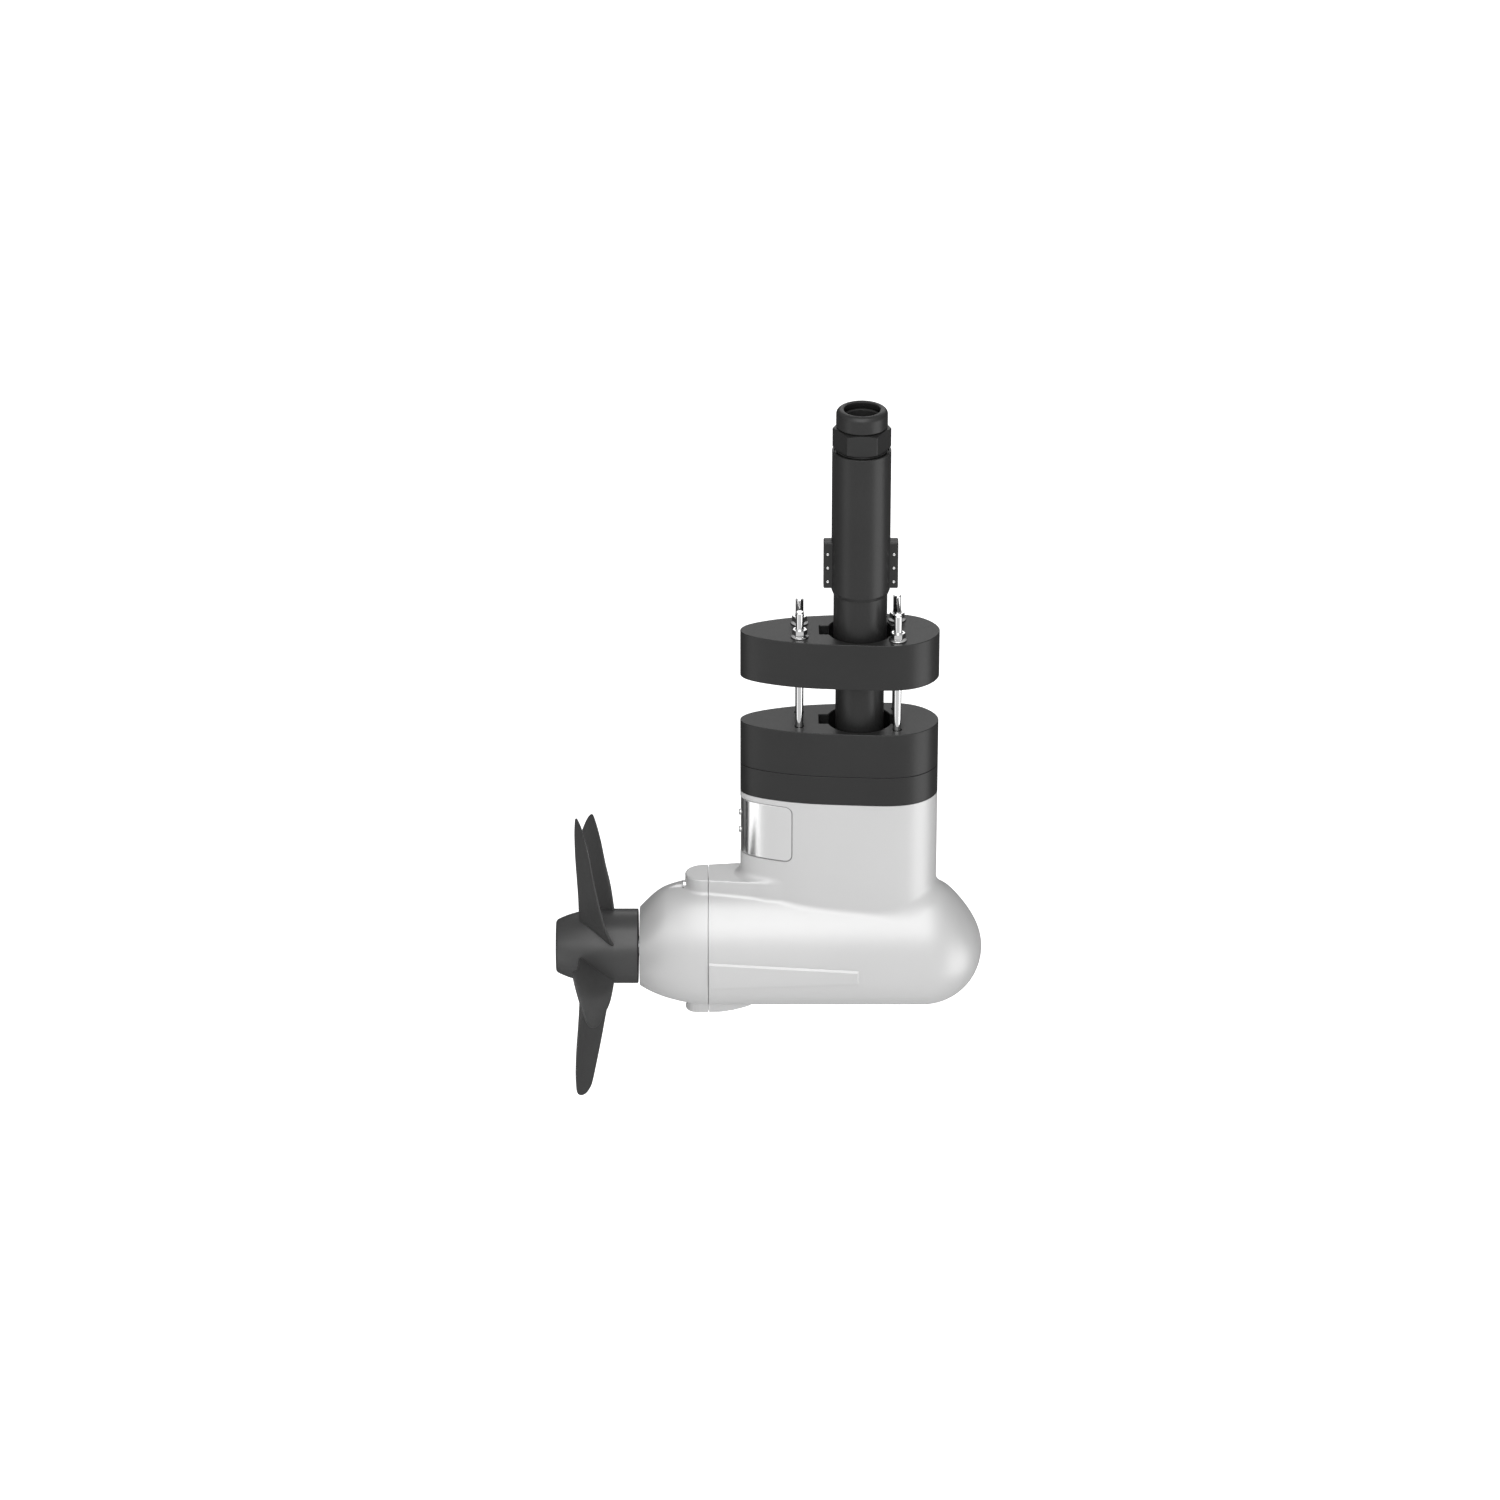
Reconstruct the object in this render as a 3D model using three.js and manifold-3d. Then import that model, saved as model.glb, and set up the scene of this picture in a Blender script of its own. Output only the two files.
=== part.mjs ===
// An electric pod drive for a boat: a streamlined motor pod hangs under the hull on a teardrop
// neck, a stem tube carries the cables up through the hull, and two thick teardrop plates clamp
// the hull between them on four studs. Units are millimetres and +Z is up.
// The origin lies on the stem tube's axis, in the hull-contact face of the lower plate.
// +X points to the pod's nose, which is the boat's bow, and the propeller is at -X.
import * as THREE from "three";
import { ParametricGeometry } from "three/addons/geometries/ParametricGeometry.js";
import { mergeVertices } from "three/addons/utils/BufferGeometryUtils.js";
import Module from "manifold-3d";

const wasm = await Module();
wasm.setup();

// ---------------------------------------------------------------- driving dimensions
const GAP = 0.3; // clearance between pieces that touch or fit in each other
const POD_AXIS_Z = -255.8;
const FINE = 32; // sides of the large round pieces
const COARSE = 16; // sides of the middling round pieces
const SMALL = 12; // sides of fasteners and their holes

const POD = { radius: 59.6, wall: 6, seamX: -150.8, noseX: 66.3 };
const TAIL = { aftX: -220.9, centreX: -145.5, length: 101.5, wall: 6 };
const CROWN = { rise: 0.22, tailRun: 28, noseX: 124, noseRun: 42 }; // the extra height above the axis
const RIDGE = { aftX: -174.6, halfWidth: 18, foreHalfWidth: 26.5, foreX: -78, top: 84, noseLength: 20 };
const BOSS = { aftX: -174.6, halfWidth: 12, flatX: -145, foreX: -108, bottom: -71.2, noseLength: 14 };
const RIB = { aftX: -148.6, foreX: 1, point: 3, radius: 61.6 };
const RIB_EDGES = { aftTop: 11.4, aftBottom: -18.4, foreTop: 2.6, foreBottom: -12.4 };
const TAIL_SCREW = { shank: 3, head: 5, headRoom: 0.6, foreX: -125 };
const TAIL_SCREWS = [
  { name: "tail_screw_top", z: POD_AXIS_Z + 70, aftX: -177.5, seatX: -172 },
  { name: "tail_screw_bottom", z: POD_AXIS_Z - 62, aftX: -172, seatX: -166.5 },
];

const OUTLINE = { aftX: -118.8, foreX: 78.9, weights: [69.5, 50.4, 102.1, 22.9, 123.2, 101] };
const NECK = { top: -78.5, hollowTop: -100, hollowWall: 8 };
const PANEL = { foreX: -67.5, top: -85.1, bottom: -145.2, corner: 7, depth: 3, thickness: 2.2, sink: 0.5 };
const PANEL_SCREW = { shank: 2, head: 3.4, headLength: 1.8, foreX: -106 };
const PANEL_SCREW_HEIGHTS = [-103.4, -122.9];
const RING = { bottom: -78.5, top: -47.6 };
const LOWER_PLATE = { bottom: -47.3, top: 0 };
const UPPER_PLATE = { bottom: 49, top: 98 };
const PLATE_HOLE = { radius: 32.5, keyReach: 40.4, keyWidth: 21 };

const STUD = { radius: 4, hole: 4.6, bottom: -97, top: 125, chamfer: 1 };
const STUD_PLACES = [
  { name: "aft_port", x: -60, y: 16 },
  { name: "aft_starboard", x: -60, y: -16 },
  { name: "fore_port", x: 37, y: 24 },
  { name: "fore_starboard", x: 37, y: -24 },
];
const NUT = { flange: 8.95, flangeHeight: 2.2, acrossFlats: 13, height: 8, bore: 4.3 };

const STEM = { radius: 24.15, inner: 20, bottom: -150, top: 170 };
const COLLAR = { radius: 26.65, inner: 24.45, bottom: 60, top: 290 };
const SLEEVE = { radius: 29, bottom: 139.8, top: 292, chamfer: 4 };
const EAR = { reach: 36.8, halfThick: 7, bottom: 146.1, top: 194.9 };
const EAR_SCREW = { x: 32.6, heights: [152.9, 167.6, 182.2], head: 1.6, shank: 1.1, sink: 1.2 };

const GLAND = { hexBottom: 294, hexTop: 316.1, acrossFlats: 50.2, bore: 16.5 };
const GLAND_SPIGOT = { radius: 24.1, bottom: 262 };
const GLAND_CAP = { radius: 25.3, top: 335, mouth: 19, roll: 6.5, thread: 21 };
const GLAND_SEAL = { inner: 15.2, bottom: 305, top: 328 };

const HUB = { aftX: -305.9, foreX: -222.4, radius: 37.9, centreX: -255, length: 70.5 };
const HUB_POCKET = { radius: 19, depth: 24 };
const BLADE = { count: 5, tipRadius: 152.2, rootRadius: 29, pitch: 245, x: -285.4, rake: 4.6 };
const FIRST_BLADE_ANGLE = 7.6; // degrees from straight up
const BLADE_STATIONS = [0.19, 0.4, 0.55, 0.7, 0.85, 0.95, 0.98, 0.995, 1]; // radius over tip radius
// Edge angles in degrees ahead of the blade's own angle.
const TRAILING_ANGLES = [4, 2, -0.8, -4, -5.9, -5.6, -4.6, -2.6, 1.5];
const LEADING_ANGLES = [57, 48.5, 39, 31, 22, 15.5, 11, 6.4, 1.5];
const BLADE_THICKNESS = { root: 9, tip: 2.4 };

const SHAFT = { radius: 10, tailRadius: 8, threadRadius: 6.9, aftX: -298, stepX: -222, foreX: 32 };
const PIN = { radius: 3, halfLength: 21, x: -230 };
const BEARING = { outer: 21, inner: 10.3, width: 12, aftX: -203.6, foreX: 20 };
const SEAL = { outer: 17.4, inner: 10.3, aftX: -220, width: 8 };
const STATOR = { outer: 53, inner: 33, aftX: -105, foreX: -25, slots: 12, slotDepth: 13 };
const WINDING = { outer: 50, inner: 35, length: 16 };
const ROTOR = { outer: 29, magnetOuter: 32.4, aftX: -105, foreX: -25, magnets: 8 };
const BEARING_PLATE = { radius: 53.3, aftX: 19, foreX: 33 };
const BOARD = { radius: 46, aftX: 46, foreX: 48, partHeight: 12 };

// ---------------------------------------------------------------- materials
const finish = (color, roughness, metalness) => ({ color, roughness, metalness });
const CAST_SILVER = finish(0xc6c8ca, 0.42, 0.55);
const BLACK_PLASTIC = finish(0x2b2b2d, 0.5, 0);
const PROPELLER_BLACK = finish(0x242526, 0.42, 0);
const POLISHED_STEEL = finish(0xd8d9da, 0.14, 1);
const BRIGHT_STEEL = finish(0xc9cacc, 0.2, 1);
const BEARING_STEEL = finish(0x9a9c9f, 0.3, 1);
const LAMINATION = finish(0x6d6f73, 0.5, 0.9);
const COPPER = finish(0xb4662f, 0.35, 0.9);
const RUBBER = finish(0x161616, 0.8, 0);
const MAGNET = finish(0x85878a, 0.35, 1);
const CIRCUIT_GREEN = finish(0x1f5a38, 0.5, 0);

// ---------------------------------------------------------------- solids from three.js shapes
const radians = THREE.MathUtils.degToRad;

// A closed three.js geometry as a solid whose faces point outwards.
function solid(geometry) {
  const bare = geometry.clone();
  bare.deleteAttribute("normal");
  bare.deleteAttribute("uv");
  const merged = mergeVertices(bare, 1e-3);
  const triVerts = new Uint32Array(merged.index.array);
  const vertProperties = new Float32Array(merged.attributes.position.array);
  const made = new wasm.Manifold(new wasm.Mesh({ numProp: 3, vertProperties, triVerts }));
  if (made.volume() > 0) return made;
  for (let i = 0; i < triVerts.length; i += 3) {
    [triVerts[i + 1], triVerts[i + 2]] = [triVerts[i + 2], triVerts[i + 1]];
  }
  return new wasm.Manifold(new wasm.Mesh({ numProp: 3, vertProperties, triVerts }));
}

const union = (...solids) => solids.reduce((sum, next) => sum.add(next));
const cut = (body, ...tools) => tools.reduce((rest, tool) => rest.subtract(tool), body);

const point = (x, y) => new THREE.Vector2(x, y);

// Points of an elliptical arc, angles in degrees from +x towards +y.
function arc(cx, cy, rx, ry, from, to, steps) {
  return Array.from({ length: steps + 1 }, (_, i) => {
    const angle = radians(from + ((to - from) * i) / steps);
    return point(cx + rx * Math.cos(angle), cy + ry * Math.sin(angle));
  });
}

// A profile of (radius, height) points turned about Z. It starts and ends on the axis.
const turnedZ = (profile, sides) => new THREE.LatheGeometry(profile, sides).rotateX(Math.PI / 2);

// A profile of (x, radius) points turned about the pod's axis.
function turnedX(profile, sides) {
  const lathe = profile.map((p) => point(p.y, p.x));
  return new THREE.LatheGeometry(lathe, sides).rotateZ(-Math.PI / 2).translate(0, 0, POD_AXIS_Z);
}

const loop = (points) => [...points, points[0]];

const rectangle = (x0, x1, y0, y1) => [point(x0, y0), point(x1, y0), point(x1, y1), point(x0, y1)];

const ringZ = (inner, outer, bottom, top, sides) =>
  solid(turnedZ(loop(rectangle(inner, outer, bottom, top)), sides));

const ringX = (inner, outer, aft, fore, sides) =>
  solid(turnedX(loop(rectangle(aft, fore, inner, outer)), sides));

const rodZ = (radius, bottom, top, sides, x = 0, y = 0) =>
  solid(
    new THREE.CylinderGeometry(radius, radius, top - bottom, sides)
      .rotateX(Math.PI / 2)
      .translate(x, y, (bottom + top) / 2),
  );

const rodX = (radius, aft, fore, sides, y = 0, z = POD_AXIS_Z) =>
  solid(
    new THREE.CylinderGeometry(radius, radius, fore - aft, sides)
      .rotateZ(Math.PI / 2)
      .translate((aft + fore) / 2, y, z),
  );

const rodY = (radius, from, to, sides, x, z) =>
  solid(new THREE.CylinderGeometry(radius, radius, to - from, sides).translate(x, (from + to) / 2, z));

const block = (x0, x1, y0, y1, z0, z1) =>
  solid(
    new THREE.BoxGeometry(x1 - x0, y1 - y0, z1 - z0).translate((x0 + x1) / 2, (y0 + y1) / 2, (z0 + z1) / 2),
  );

// A plan outline raised from one height to another.
function slab(points, bottom, top) {
  const geometry = new THREE.ExtrudeGeometry(new THREE.Shape(points), {
    depth: top - bottom,
    bevelEnabled: false,
  });
  return solid(geometry.translate(0, 0, bottom));
}

// A side-view outline of (x, z) points, extruded across the object.
function sidePrism(points, from, to) {
  const geometry = new THREE.ExtrudeGeometry(new THREE.Shape(points), {
    depth: to - from,
    bevelEnabled: false,
  });
  return solid(geometry.rotateX(Math.PI / 2).translate(0, to, 0));
}

// A hexagonal prism with a flat facing -Y.
const hexagon = (acrossFlats, bottom, top, x = 0, y = 0) =>
  solid(
    new THREE.CylinderGeometry(acrossFlats / Math.sqrt(3), acrossFlats / Math.sqrt(3), top - bottom, 6)
      .rotateX(Math.PI / 2)
      .rotateZ(Math.PI / 2)
      .translate(x, y, (bottom + top) / 2),
  );

const pod = new THREE.Group();

function add(name, shape, look) {
  const mesh = shape.getMesh();
  const geometry = new THREE.BufferGeometry();
  geometry.setAttribute("position", new THREE.BufferAttribute(mesh.vertProperties, 3));
  geometry.setIndex(new THREE.BufferAttribute(mesh.triVerts, 1));
  geometry.computeVertexNormals();
  const node = new THREE.Mesh(geometry, new THREE.MeshStandardMaterial(look));
  node.name = name;
  pod.add(node);
}

// ---------------------------------------------------------------- the teardrop outline
// Half-width of the plates and the neck along their length u, 0 aft to 1 fore: a round-ended
// envelope shaped by Bernstein weights.
function halfWidth(u) {
  const order = OUTLINE.weights.length - 1;
  let binomial = 1;
  let sum = 0;
  OUTLINE.weights.forEach((weight, i) => {
    sum += weight * binomial * u ** i * (1 - u) ** (order - i);
    binomial *= (order - i) / (i + 1);
  });
  return sum * Math.sqrt(Math.max(u * (1 - u), 0));
}

// The outline as a closed loop of points, moved inwards by inset.
function outlinePoints(inset = 0, steps = 20) {
  const length = OUTLINE.foreX - OUTLINE.aftX;
  const place = (i) => {
    const u = (1 - Math.cos((Math.PI * i) / steps)) / 2;
    const side = i < 0 || i > steps ? 1 : -1;
    return point(OUTLINE.aftX + length * u, side * halfWidth(u));
  };
  const points = [];
  for (let i = 0; i < 2 * steps; i += 1) {
    const along = place(i + 0.5).sub(place(i - 0.5)).normalize();
    points.push(place(i).add(point(-along.y, along.x).multiplyScalar(inset)));
  }
  return points;
}

// ---------------------------------------------------------------- pod housing and tail cone
const podProfile = (radius, aftX, steps) => [
  point(aftX, 0),
  point(aftX, radius),
  ...arc(POD.noseX, 0, radius, radius, 90, 0, steps),
];

// The pod is round below its axis and taller above it. The rise fades out towards both ends.
function crowned(geometry) {
  const position = geometry.getAttribute("position");
  for (let i = 0; i < position.count; i += 1) {
    const x = position.getX(i);
    const aboveAxis = position.getZ(i) - POD_AXIS_Z;
    if (aboveAxis <= 0) continue;
    const aft = THREE.MathUtils.clamp((x - TAIL.aftX) / CROWN.tailRun, 0, 1);
    const fore = THREE.MathUtils.smoothstep((CROWN.noseX - x) / CROWN.noseRun, 0, 1);
    const rise = CROWN.rise * Math.sin((Math.PI / 2) * aft) * fore;
    position.setZ(i, POD_AXIS_Z + aboveAxis * (1 + rise));
  }
  return geometry;
}

const podSkin = () => solid(crowned(turnedX(podProfile(POD.radius, POD.seamX, 8), FINE)));

// The raised ridge over the seam, in plan: a round aft end that widens towards the neck.
function ridgePlan() {
  const centreX = RIDGE.aftX + RIDGE.noseLength;
  const round = arc(centreX, 0, RIDGE.noseLength, RIDGE.halfWidth, 90, 270, 8);
  return [...round, point(RIDGE.foreX, -RIDGE.foreHalfWidth), point(RIDGE.foreX, RIDGE.foreHalfWidth)];
}

function bossPlan() {
  const centreX = BOSS.aftX + BOSS.noseLength;
  const round = arc(centreX, 0, BOSS.noseLength, BOSS.halfWidth, 90, 270, 6);
  return [...round, point(BOSS.foreX, -BOSS.halfWidth + 3), point(BOSS.foreX, BOSS.halfWidth - 3)];
}

const ridge = slab(ridgePlan(), POD_AXIS_Z + 40, POD_AXIS_Z + RIDGE.top);
const bossSide = sidePrism(
  [
    point(BOSS.aftX - 1, POD_AXIS_Z - 40),
    point(BOSS.aftX - 1, POD_AXIS_Z - 66),
    point(BOSS.aftX + 5, POD_AXIS_Z + BOSS.bottom),
    point(BOSS.flatX, POD_AXIS_Z + BOSS.bottom),
    point(BOSS.foreX - 6, POD_AXIS_Z + BOSS.bottom + 5),
    point(BOSS.foreX, POD_AXIS_Z - 58),
    point(BOSS.foreX, POD_AXIS_Z - 40),
  ],
  -40,
  40,
);
const boss = slab(bossPlan(), POD_AXIS_Z - 80, POD_AXIS_Z - 40).intersect(bossSide);

// The tail-cone screws run fore and aft, one in the ridge and one in the boss.
const tailScrewHole = ({ z, seatX }) =>
  union(
    rodX(TAIL_SCREW.shank + GAP, seatX - 1, TAIL_SCREW.foreX + 2, SMALL, 0, z),
    rodX(TAIL_SCREW.head + TAIL_SCREW.headRoom, seatX - 30, seatX, SMALL, 0, z),
  );

// A recess in the neck for the wrap-around panel, and the panel itself, share one side view.
function panelSide(margin) {
  const left = OUTLINE.aftX - 10;
  const right = PANEL.foreX + margin;
  const low = PANEL.bottom - margin;
  const high = PANEL.top + margin;
  const corner = PANEL.corner + margin;
  return sidePrism(
    [
      point(left, low),
      ...arc(right - corner, low + corner, corner, corner, -90, 0, 5),
      ...arc(right - corner, high - corner, corner, corner, 0, 90, 5),
      point(left, high),
    ],
    -60,
    60,
  );
}
const panelBand = (outer, inner) =>
  slab(outlinePoints(outer), PANEL.bottom - 5, PANEL.top + 5).subtract(
    slab(outlinePoints(inner), PANEL.bottom - 6, PANEL.top + 6),
  );

function podHousing() {
  const outside = union(
    podSkin(),
    slab(outlinePoints(), POD_AXIS_Z + 20, NECK.top),
    ridge.intersect(block(POD.seamX, 0, -60, 60, POD_AXIS_Z, NECK.top)),
    boss.intersect(block(POD.seamX, 0, -60, 60, POD_AXIS_Z - 90, POD_AXIS_Z)),
    sideRibs(),
  );
  const cavity = union(
    solid(turnedX(podProfile(POD.radius - POD.wall, POD.seamX - 10, 5), COARSE * 2)),
    slab(outlinePoints(NECK.hollowWall, 10), POD_AXIS_Z + 30, NECK.hollowTop),
    rodZ(STEM.radius + GAP, NECK.hollowTop - 5, NECK.top + 5, FINE),
  );
  const studWells = STUD_PLACES.map(({ x, y }) => rodZ(STUD.radius + GAP, STUD.bottom - 1, 0, SMALL, x, y));
  const recess = panelBand(-5, PANEL.depth).intersect(panelSide(GAP));
  const panelScrewHoles = PANEL_SCREW_HEIGHTS.map((z) =>
    rodX(PANEL_SCREW.shank + GAP, OUTLINE.aftX - 5, PANEL_SCREW.foreX + 1, SMALL, 0, z),
  );
  return cut(
    outside,
    cavity,
    ...studWells,
    recess,
    ...panelScrewHoles,
    ...TAIL_SCREWS.map((screw) => tailScrewHole(screw)),
  );
}

// A raised, tapering rib on each flank of the pod, from the seam forwards.
function sideRibs() {
  const band = sidePrism(
    [
      point(RIB.aftX, POD_AXIS_Z + RIB_EDGES.aftBottom),
      point(RIB.foreX - RIB.point, POD_AXIS_Z + RIB_EDGES.foreBottom),
      point(RIB.foreX, POD_AXIS_Z + (RIB_EDGES.foreBottom + RIB_EDGES.foreTop) / 2),
      point(RIB.foreX - RIB.point, POD_AXIS_Z + RIB_EDGES.foreTop),
      point(RIB.aftX, POD_AXIS_Z + RIB_EDGES.aftTop),
    ],
    -70,
    70,
  );
  return rodX(RIB.radius, RIB.aftX - 1, RIB.foreX + 1, FINE).intersect(band);
}

function tailCone() {
  const dome = (shrink, fromX, toX, steps) => {
    const radius = POD.radius - shrink;
    const length = TAIL.length - shrink;
    const angleAt = (x) => THREE.MathUtils.radToDeg(Math.acos((x - TAIL.centreX) / length));
    return arc(TAIL.centreX, 0, length, radius, angleAt(fromX), angleAt(toX), steps);
  };
  const seamX = POD.seamX - GAP;
  const spigot = POD.radius - POD.wall - GAP;
  const skin = [point(TAIL.aftX, 0), ...dome(0, TAIL.aftX, seamX, 8), point(seamX, 0)];
  const outside = union(
    solid(crowned(turnedX(skin, FINE))),
    rodX(spigot, seamX - 2, seamX + 10, FINE),
    ridge.intersect(block(-200, seamX, -60, 60, POD_AXIS_Z, NECK.top)),
    boss.intersect(block(-200, seamX, -60, 60, POD_AXIS_Z - 90, POD_AXIS_Z)),
  );
  const bearingFore = BEARING.aftX + BEARING.width + GAP;
  const hollow = solid(
    turnedX(
      [
        point(bearingFore, 0),
        point(bearingFore, 26),
        ...dome(TAIL.wall + 3, bearingFore + 6, seamX - 8, 3),
        point(seamX + 12, spigot - 6),
        point(seamX + 12, 0),
      ],
      FINE,
    ),
  );
  return cut(
    outside,
    hollow,
    rodX(BEARING.outer + GAP, BEARING.aftX - GAP, bearingFore + 1, COARSE),
    rodX(SHAFT.radius + 2, TAIL.aftX - 5, bearingFore, COARSE),
    rodX(SEAL.outer + GAP, TAIL.aftX - 5, SEAL.aftX + SEAL.width + GAP, COARSE),
    ringX(spigot - 2.5, spigot + 5, seamX + 3, seamX + 7, FINE),
    ...TAIL_SCREWS.map((screw) => tailScrewHole(screw)),
  );
}

add("pod_housing", podHousing(), CAST_SILVER);
add("tail_cone", tailCone(), CAST_SILVER);
add(
  "tail_seal_ring",
  ringX(POD.radius - POD.wall - 2.5, POD.radius - POD.wall - 0.2, POD.seamX + 3.2, POD.seamX + 6.2, FINE),
  RUBBER,
);

for (const { name, z, aftX, seatX } of TAIL_SCREWS) {
  const shank = rodX(TAIL_SCREW.shank, seatX - 2, TAIL_SCREW.foreX, SMALL, 0, z);
  const head = rodX(TAIL_SCREW.head, aftX, seatX - GAP, SMALL, 0, z);
  add(name, union(head, shank), BRIGHT_STEEL);
}

// ---------------------------------------------------------------- wrap-around panel
const panelFaceX = OUTLINE.aftX + PANEL.sink;
const panelHole = (z) => rodX(PANEL_SCREW.shank + GAP, panelFaceX - 5, panelFaceX + 8, SMALL, 0, z);
add(
  "aft_panel",
  cut(
    panelBand(PANEL.sink, PANEL.sink + PANEL.thickness).intersect(panelSide(0)),
    ...PANEL_SCREW_HEIGHTS.map((z) => panelHole(z)),
  ),
  POLISHED_STEEL,
);
PANEL_SCREW_HEIGHTS.forEach((z, i) => {
  const underHead = panelFaceX - GAP;
  const head = rodX(PANEL_SCREW.head, underHead - PANEL_SCREW.headLength, underHead, SMALL, 0, z);
  const shank = rodX(PANEL_SCREW.shank, panelFaceX - 1, PANEL_SCREW.foreX, SMALL, 0, z);
  add(`panel_screw_${i + 1}`, union(head, shank), BRIGHT_STEEL);
});

// ---------------------------------------------------------------- ring, plates, studs and nuts
const studHoles = (bottom, top) => STUD_PLACES.map(({ x, y }) => rodZ(STUD.hole, bottom, top, SMALL, x, y));

add(
  "spacer_ring",
  cut(
    slab(outlinePoints(), RING.bottom + GAP, RING.top),
    rodZ(STEM.radius + GAP, RING.bottom - 5, RING.top + 5, FINE),
    ...studHoles(RING.bottom - 5, RING.top + 5),
  ),
  BLACK_PLASTIC,
);

// Each plate has a round hole for the tube, with a keyway fore and aft for the sleeve's ears.
function clampPlate({ bottom, top }) {
  const halfKey = PLATE_HOLE.keyWidth / 2;
  return cut(
    slab(outlinePoints(), bottom, top),
    rodZ(PLATE_HOLE.radius, bottom - 5, top + 5, FINE),
    block(-PLATE_HOLE.keyReach, PLATE_HOLE.keyReach, -halfKey, halfKey, bottom - 5, top + 5),
    ...studHoles(bottom - 5, top + 5),
  );
}
add("lower_plate", clampPlate(LOWER_PLATE), BLACK_PLASTIC);
add("upper_plate", clampPlate(UPPER_PLATE), BLACK_PLASTIC);

for (const { name, x, y } of STUD_PLACES) {
  const tip = STUD.top - STUD.chamfer;
  const profile = [
    point(0, STUD.bottom),
    point(STUD.radius, STUD.bottom),
    point(STUD.radius, tip),
    point(STUD.radius - STUD.chamfer, STUD.top),
    point(0, STUD.top),
  ];
  add(`stud_${name}`, solid(turnedZ(profile, SMALL).translate(x, y, 0)), POLISHED_STEEL);

  const seat = UPPER_PLATE.top + GAP;
  const flange = [
    point(0, seat),
    point(NUT.flange, seat),
    point(NUT.flange, seat + 0.8),
    point(NUT.acrossFlats / 2, seat + NUT.flangeHeight),
    point(0, seat + NUT.flangeHeight),
  ];
  const nut = cut(
    union(
      solid(turnedZ(flange, COARSE).translate(x, y, 0)),
      hexagon(NUT.acrossFlats, seat + 1, seat + NUT.height, x, y),
    ),
    rodZ(NUT.bore, seat - 5, seat + NUT.height + 5, SMALL, x, y),
  );
  add(`nut_${name}`, nut, POLISHED_STEEL);
}

// ---------------------------------------------------------------- stem tube, collar and split sleeve
add("stem_tube", ringZ(STEM.inner, STEM.radius, STEM.bottom, STEM.top, FINE), BLACK_PLASTIC);
add("collar_tube", ringZ(COLLAR.inner, COLLAR.radius, COLLAR.bottom, COLLAR.top, FINE), BLACK_PLASTIC);

// Half of the clamp sleeve with its two ears, on the -Y side (side -1) or the +Y side (side 1).
function sleeveHalf(side) {
  const inner = COLLAR.radius + GAP;
  const barrel = solid(
    turnedZ(
      loop([
        point(inner, SLEEVE.bottom),
        point(inner + 0.2, SLEEVE.bottom),
        point(SLEEVE.radius, SLEEVE.bottom + SLEEVE.chamfer),
        point(SLEEVE.radius, SLEEVE.top),
        point(inner, SLEEVE.top),
      ]),
      FINE,
    ),
  );
  const ears = block(-EAR.reach, EAR.reach, -EAR.halfThick, EAR.halfThick, EAR.bottom, EAR.top);
  const [low, high] = side < 0 ? [-40, -GAP / 2] : [GAP / 2, 40];
  const halfSpace = block(-50, 50, low, high, SLEEVE.bottom - 5, SLEEVE.top + 5);
  const screwWays = EAR_SCREW.heights.flatMap((z) =>
    [-EAR_SCREW.x, EAR_SCREW.x].flatMap((x) => [
      rodY(EAR_SCREW.shank + GAP, -EAR.halfThick - 1, EAR.halfThick - 0.4, 6, x, z),
      rodY(EAR_SCREW.head + GAP, -EAR.halfThick - 1, -EAR.halfThick + EAR_SCREW.sink + GAP, 8, x, z),
    ]),
  );
  return cut(
    union(barrel, ears).intersect(halfSpace),
    rodZ(inner, SLEEVE.bottom - 5, SLEEVE.top + 5, FINE),
    ...screwWays,
  );
}
add("sleeve_front", sleeveHalf(-1), BLACK_PLASTIC);
add("sleeve_back", sleeveHalf(1), BLACK_PLASTIC);

[-1, 1].forEach((side) => {
  const row = side < 0 ? "aft" : "fore";
  EAR_SCREW.heights.forEach((z, i) => {
    const x = side * EAR_SCREW.x;
    const headFace = -EAR.halfThick + 0.2;
    const head = rodY(EAR_SCREW.head, headFace, headFace + 1, 8, x, z);
    const shank = rodY(EAR_SCREW.shank, headFace, EAR.halfThick - 0.8, 6, x, z);
    add(`ear_screw_${row}_${i + 1}`, union(head, shank), BRIGHT_STEEL);
  });
});

// ---------------------------------------------------------------- cable gland
add("gland_washer", ringZ(COLLAR.inner + 0.5, 27.4, SLEEVE.top + GAP, GLAND.hexBottom - GAP, FINE), RUBBER);

function glandBody() {
  const throat = GLAND_SEAL.bottom - GAP;
  return cut(
    union(
      rodZ(GLAND_SPIGOT.radius, GLAND_SPIGOT.bottom, GLAND.hexBottom + 2, FINE),
      hexagon(GLAND.acrossFlats, GLAND.hexBottom, GLAND.hexTop),
      rodZ(GLAND_CAP.thread - GAP, GLAND.hexTop - 2, GLAND_SEAL.top - 3, FINE),
    ),
    rodZ(GLAND.bore, GLAND_SPIGOT.bottom - 5, throat + 1, FINE),
    rodZ(GLAND_CAP.mouth - 0.4, throat, GLAND_SEAL.top + 5, FINE),
  );
}
add("gland_body", glandBody(), BLACK_PLASTIC);

const sealOuter = GLAND_CAP.mouth - 0.4 - GAP;
add("gland_seal", ringZ(GLAND_SEAL.inner, sealOuter, GLAND_SEAL.bottom, GLAND_SEAL.top, COARSE), RUBBER);

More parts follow.
